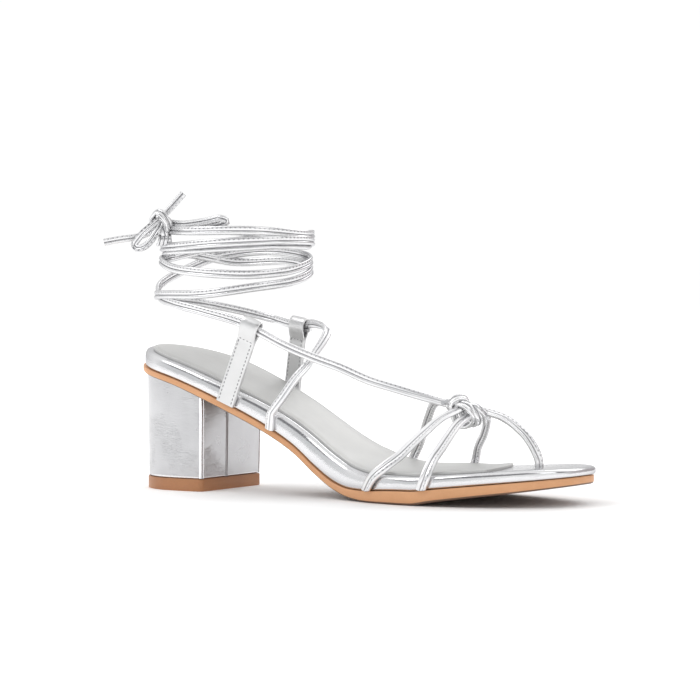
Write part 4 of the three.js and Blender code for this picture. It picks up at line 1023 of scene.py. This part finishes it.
def leaning(row, low):
    along, across, high, lean = row
    x = along * LENGTH
    flat = 1 - abs(lean)
    return (np.array([x, across * BALL_WIDTH, mix(low(x), loop_top, high)]),
            unit((0.4 * flat, lean, 0.6 * flat)))


def through(tunnel, side):
    middle, forward = tunnel
    return [(middle + forward * step * LOOP_WIDTH, np.array([0.0, side, 0.0])) for step in (0.62, -0.62)]


instep_stops = [in_knot((-1.05, 0.48, 0.14), unit((-0.3, -0.2, 1)))]
instep_stops += [leaning(row, lambda x: knot_height) for row in INSTEP_TIE]
instep_stops += through(lateral_tunnel, -1) + [ankle(row) for row in INSTEP_TIE_TURNS]
waist_stops = strap_foot(0.357, 0.361, -1) + [leaning(row, footbed_top) for row in WAIST_TIE]
waist_stops += through(medial_tunnel, 1) + [ankle(row) for row in WAIST_TIE_TURNS]
PAINTED_LIGHT_BELOW = 3                    # below the loops the ties take the palest foil, which is painted light
for name, stops, bead, ledge in (("tie_instep", instep_stops, 1, 0), ("tie_waist", waist_stops, -1, 3)):
    piece = Piece()
    sweep(piece, stops, bead=bead, ledge=ledge)
    places = np.vstack(piece.points)
    for k, face in enumerate(piece.faces):
        # Faces below the loops take the palest foil: painted light.
        if piece.finish[k] == 0 and places[face, 2].mean() < loop_top - PAINTED_LIGHT_BELOW:
            piece.finish[k] = 2
    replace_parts(piece.make(name, [strap_foil, thread, strap_foil_painted_light]), "ankle_ties")


# Outsole, footbed and sock lining
def outsole_inset(x):
    return -OUTSOLE_LEDGE * ledge_share(x / LENGTH)


def sole_round(x):
    return SOLE_ROUND * outsole_share(x / LENGTH)


outsole = Piece()
layers = []
for inset, lift in ((1, 0), (0.5, 0.134), (0.134, 0.5), (0, 1)):
    layers.append((plan_pairs(lambda x, d=inset: outsole_inset(x) + d * sole_round(x)),
                   lambda x, y, d=lift: underside(x) + d * sole_round(x)))
for inset, drop in ((0, 0.5), (0.1, 0.12), (0.35, 0)):
    layers.append((plan_pairs(lambda x, d=inset: outsole_inset(x) + d),
                   lambda x, y, d=drop: outsole_top(x) - d))
plate(outsole, layers)
# Faces turned down take the dark underside material: painted shade.
for k, face in enumerate(outsole.faces):
    a, b, c = [outsole.points[0][i] for i in face[:3]]
    if unit(np.cross(b - a, c - b))[2] < -0.6:
        outsole.finish[k] = 1
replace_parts(outsole.make("outsole_tan", [sole_tan, sole_under_shade], sharp=60), "outsole")

RIM = [
    (0.22, 0.00), (0.06, 0.05), (0.01, 0.12), (0.00, 0.25), (0.00, 0.44), (0.015, 0.57),
    (0.055, 0.69), (0.125, 0.795), (0.235, 0.88), (0.38, 0.938), (0.56, 0.972), (0.76, 0.991),
    (1.00, 1.00),
]


def rim_wave(x, y, share):
    """Soft unevenness where the foil is drawn over the rim."""
    return 0.10 * noise.noise(Vector((x * 0.13, y * 0.13, share * 1.5))) * math.sin(math.pi * min(share, 1))


bed = Piece()
layers = []
for inset, share in RIM:
    def drawn(x, d=inset, s=share):
        return d * RIM_WIDTH + rim_wave(x, 0, s)
    layers.append((plan_pairs(drawn), lambda x, y, s=share: mix(footbed_bottom(x), footbed_top(x), s)))
plate(bed, layers, columns=8)
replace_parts(bed.make("footbed_foil", [bed_foil], sharp=60), "footbed")

SOCK_SKEW_FROM = 0.09
SOCK_ROWS = 70
SOCK_FRONT_ROWS = 14


def sock_pairs(inset):
    margin = SOCK_MARGIN + inset
    start = SOCK_SKEW_FROM * LENGTH
    pairs = plan_pairs(lambda x: margin, start - SOCK_MARGIN)

    def on_margin(x, side):
        point, out = edge_at(x, side)
        return point - out * margin

    for k in range(SOCK_ROWS + 1):
        share = k / SOCK_ROWS
        pairs.append((tuple(on_margin(mix(start, SOCK_LATERAL - inset, share), -1)),
                      tuple(on_margin(mix(start, SOCK_MEDIAL - inset, share), 1))))
    lateral, medial = [np.array(p) for p in pairs[-1]]
    for k in range(1, SOCK_FRONT_ROWS + 1):
        share = k / SOCK_FRONT_ROWS / 2
        both = []
        for s in (share, 1 - share):
            p = mix(lateral, medial, s)
            p[0] += SOCK_BULGE * 4 * s * (1 - s)
            both.append(tuple(p))
        pairs.append([both[0], both[0]] if k == SOCK_FRONT_ROWS else both)
    return pairs


sock = Piece()
layers = [(sock_pairs(0), lambda x, y: footbed_top(x) + 0.02)]
for inset, drop in ((0, 0.40), (0.10, 0.16), (0.40, 0.0), (1.35, 0.0), (1.55, 0.14), (1.8, 0.14), (2.0, 0.0)):
    layers.append((sock_pairs(inset), lambda x, y, d=drop: sock_top(x) - d))
plate(sock, layers, columns=10)
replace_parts(sock.make("sock_lining_satin", [satin()], sharp=50), "sock_lining")

# Heel block and tip
CORNER_STEPS = 6


def heel_pairs(inset):
    breast = HEEL_BREAST - inset

    def wall(x):
        return inset + mix(HEEL_INSET_BACK, HEEL_INSET_FRONT, ease(x / HEEL_BREAST, 0, 1))

    turn_at = breast - HEEL_CORNER
    pairs = plan_pairs(wall, HEEL_BREAST - 2 * HEEL_CORNER)
    walls = [edge_at(turn_at, side)[0][1] - side * wall(turn_at) for side in (-1, 1)]
    for k in range(CORNER_STEPS + 1):
        turn = k / CORNER_STEPS * math.pi / 2
        x = turn_at + HEEL_CORNER * math.sin(turn)
        draw = HEEL_CORNER * (1 - math.cos(turn))
        pairs.append(((x, walls[0] + draw), (x, walls[1] - draw)))
    return pairs


heel = Piece()
block_base = TIP_THICKNESS + GAP
layers = []
for share in (0.0, 0.006, 0.02, 0.25, 0.5, 0.75, 0.98, 1.0):
    soft = 0.35 * (1 - min(share / 0.02, 1)) ** 2
    layers.append((heel_pairs(mix(HEEL_TAPER, 0, share) + soft),
                   lambda x, y, s=share: mix(block_base, underside(x) - GAP, s)))
plate(heel, layers)
# Faces round the foot of the block, where the foil folds under, take the fold foil: a painted highlight.
for k, face in enumerate(heel.faces):
    heights = [heel.points[0][i][2] for i in face]
    if max(heights) < block_base + 1.2 and max(heights) - min(heights) > 0.1:
        heel.finish[k] = 1
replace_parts(heel.make("heel_foil", [heel_foil, fold_highlight_foil], sharp=50), "heel_block")

tip = Piece()
layers = []
for inset, z in ((0.5, 0.0), (0.15, 0.12), (0.0, 0.5), (0.0, TIP_THICKNESS - 0.3), (0.2, TIP_THICKNESS)):
    layers.append((heel_pairs(HEEL_TAPER - TIP_LEDGE + inset), lambda x, y, z=z: z))
plate(tip, layers)
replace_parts(tip.make("heel_tip_brown", [tip_brown], sharp=50), "heel_tip")


def heel_edge(name, y_at, x_at, width, thickness, facing, wave, materials, section, dark):
    """A thin upright strip on the heel; its `dark` lanes take the second material, the painted shade."""
    piece = Piece()
    rows = 40
    facing = unit(facing)
    across = np.cross((0, 0, 1), facing)
    points = []
    for k in range(rows + 1):
        share = k / rows
        x = x_at(share)
        y = y_at(share) + wave * noise.noise(Vector((0.0, x * 0.1, share * 5)))
        z = mix(block_base + 0.1, underside(x) - GAP - 0.1, share)
        for a, b in section:
            points.append(np.array([x, y, z]) + across * a * width / 2 + facing * b * thickness)
    size = len(section)
    faces = []
    for k in range(rows):
        for i in range(size - 1):
            faces.append((k * size + i, k * size + i + 1, (k + 1) * size + i + 1, (k + 1) * size + i))
    piece.add(points, faces)
    piece.finish = [1 if i % (size - 1) in dark else 0 for i in range(len(faces))]
    return piece.make(name, materials, sharp=70)


# Strips at the breast corners where the foil folds round: fold foil, a painted highlight, with one lane of
# painted shade in the crease beside it.
heel_y = [edge_at(HEEL_BREAST - HEEL_CORNER, side)[0][1] - side * HEEL_INSET_FRONT for side in (-1, 1)]
fold_draw = 0.22 * HEEL_CORNER
for column, (side, name) in enumerate(((-1, "heel_fold_lateral"), (1, "heel_fold_medial"))):
    heel_edge(
        name,
        lambda s, y=heel_y[column], d=side: y - d * (fold_draw + HEEL_TAPER * (1 - s)),
        lambda s: HEEL_BREAST - fold_draw - HEEL_TAPER * (1 - s),
        width=3.2, thickness=0.5, facing=(0.75, side * 0.66, 0), wave=0.25,
        materials=[fold_highlight_foil, seam_shade],
        section=[(-0.55, -0.6), (-0.50, 0.2), (-0.35, 0.75), (-0.05, 0.95), (0.25, 0.85), (0.42, 0.5),
                 (0.50, 0.05), (0.66, 0.05), (0.76, 0.3), (0.95, 0.1), (1.0, -0.6)],
        dark=(6,),
    )
# The breast seam: a shallow dip whose middle lanes take painted shade.
heel_edge(
    "heel_breast_seam", lambda s: -4.0, lambda s: HEEL_BREAST - HEEL_TAPER * (1 - s),
    width=2.4, thickness=0.28, facing=(1, 0, 0), wave=0.15, materials=[heel_foil, seam_shade],
    section=[(-1.0, -0.3), (-0.7, 0.8), (-0.32, 1.0), (-0.16, 0.35), (0.0, 0.2), (0.16, 0.35),
             (0.32, 1.0), (0.7, 0.8), (1.0, -0.3)],
    dark=(3, 4),
)

# Floor and light
GLOW_CENTRE = (0.135, 0, 0)
LIGHT_AIM = (0.09, 0, 0.05)
floor_mesh = bpy.data.meshes.new("floor")
floor_mesh.from_pydata([(-6, -6, 0), (6, -6, 0), (6, 6, 0), (-6, 6, 0)], [], [(0, 1, 2, 3)])
floor = bpy.data.objects.new("floor", floor_mesh)
scene.collection.objects.link(floor)
floor_paint, floor_tree, floor_shader, place = node_material("floor white painted glow")
floor_shader.inputs["Base Color"].default_value = (0.92, 0.92, 0.92, 1)
floor_shader.inputs["Roughness"].default_value = 0.8
# The floor glows, which is painted light; the glow fades to none near the forefoot so that only the shadow
# there stays dark.
reach = vector_node(floor_tree, "DISTANCE", place, GLOW_CENTRE)
glow = ramp(floor_tree, reach, [
    (0.055, BLACK), (0.125, (0.55, 0.55, 0.55)), (0.5, WHITE),
])
floor_tree.links.new(glow, floor_shader.inputs["Emission Color"])
floor_shader.inputs["Emission Strength"].default_value = 0.42
floor_mesh.materials.append(floor_paint)

world = bpy.data.worlds.new("studio")
scene.world = world
world.use_nodes = True
sky = world.node_tree
background = next(n for n in sky.nodes if n.type == "BACKGROUND")
direction = sky.nodes.new("ShaderNodeTexCoord").outputs["Generated"]
parts = sky.nodes.new("ShaderNodeSeparateXYZ")
sky.links.new(direction, parts.inputs[0])
dark_band = ramp(sky, parts.outputs["Z"], [
    (0.0, BLACK), (0.32, BLACK), (0.42, WHITE), (0.72, WHITE), (0.86, BLACK),
])
front = vector_node(sky, "DOT_PRODUCT", direction, (0.53, -0.85, 0))
near = ramp(sky, front, [(0.0, BLACK), (0.25, WHITE)])
both = calc(sky, "MULTIPLY", dark_band, near)
shade = ramp(sky, both, [(0.0, WHITE), (1.0, (0.20, 0.20, 0.21))])


def flag(color, toward, low, high, tint):
    """A duller side of the studio, seen only in the foil."""
    dot = vector_node(sky, "DOT_PRODUCT", direction, toward)
    side = ramp(sky, dot, [(low, WHITE), (high, tint)])
    return multiplied(sky, color, side)


shade = flag(shade, (-0.53, -0.85, 0), 0.70, 0.97, (0.74, 0.75, 0.76))
shade = flag(shade, (0.53, 0.85, 0), 0.60, 0.95, (0.53, 0.49, 0.50))
sky.links.new(shade, background.inputs["Color"])
background.inputs["Strength"].default_value = 1.02


def area_light(name, place, size, power):
    data = bpy.data.lights.new(name, "AREA")
    data.shape = "RECTANGLE"
    data.size, data.size_y = size
    data.energy = power
    light = bpy.data.objects.new(name, data)
    scene.collection.objects.link(light)
    light.location = place
    light.rotation_euler = (Vector(LIGHT_AIM) - Vector(place)).to_track_quat("-Z", "Y").to_euler()


area_light("key", (-0.9, -1.2, 1.7), (1.2, 1.0), 10)
area_light("fill", (1.6, -0.6, 1.3), (1.0, 1.0), 4)
area_light("back", (0.2, 1.6, 1.4), (1.4, 0.8), 8)

scene.view_settings.view_transform = "Standard"
scene.view_settings.look = "None"
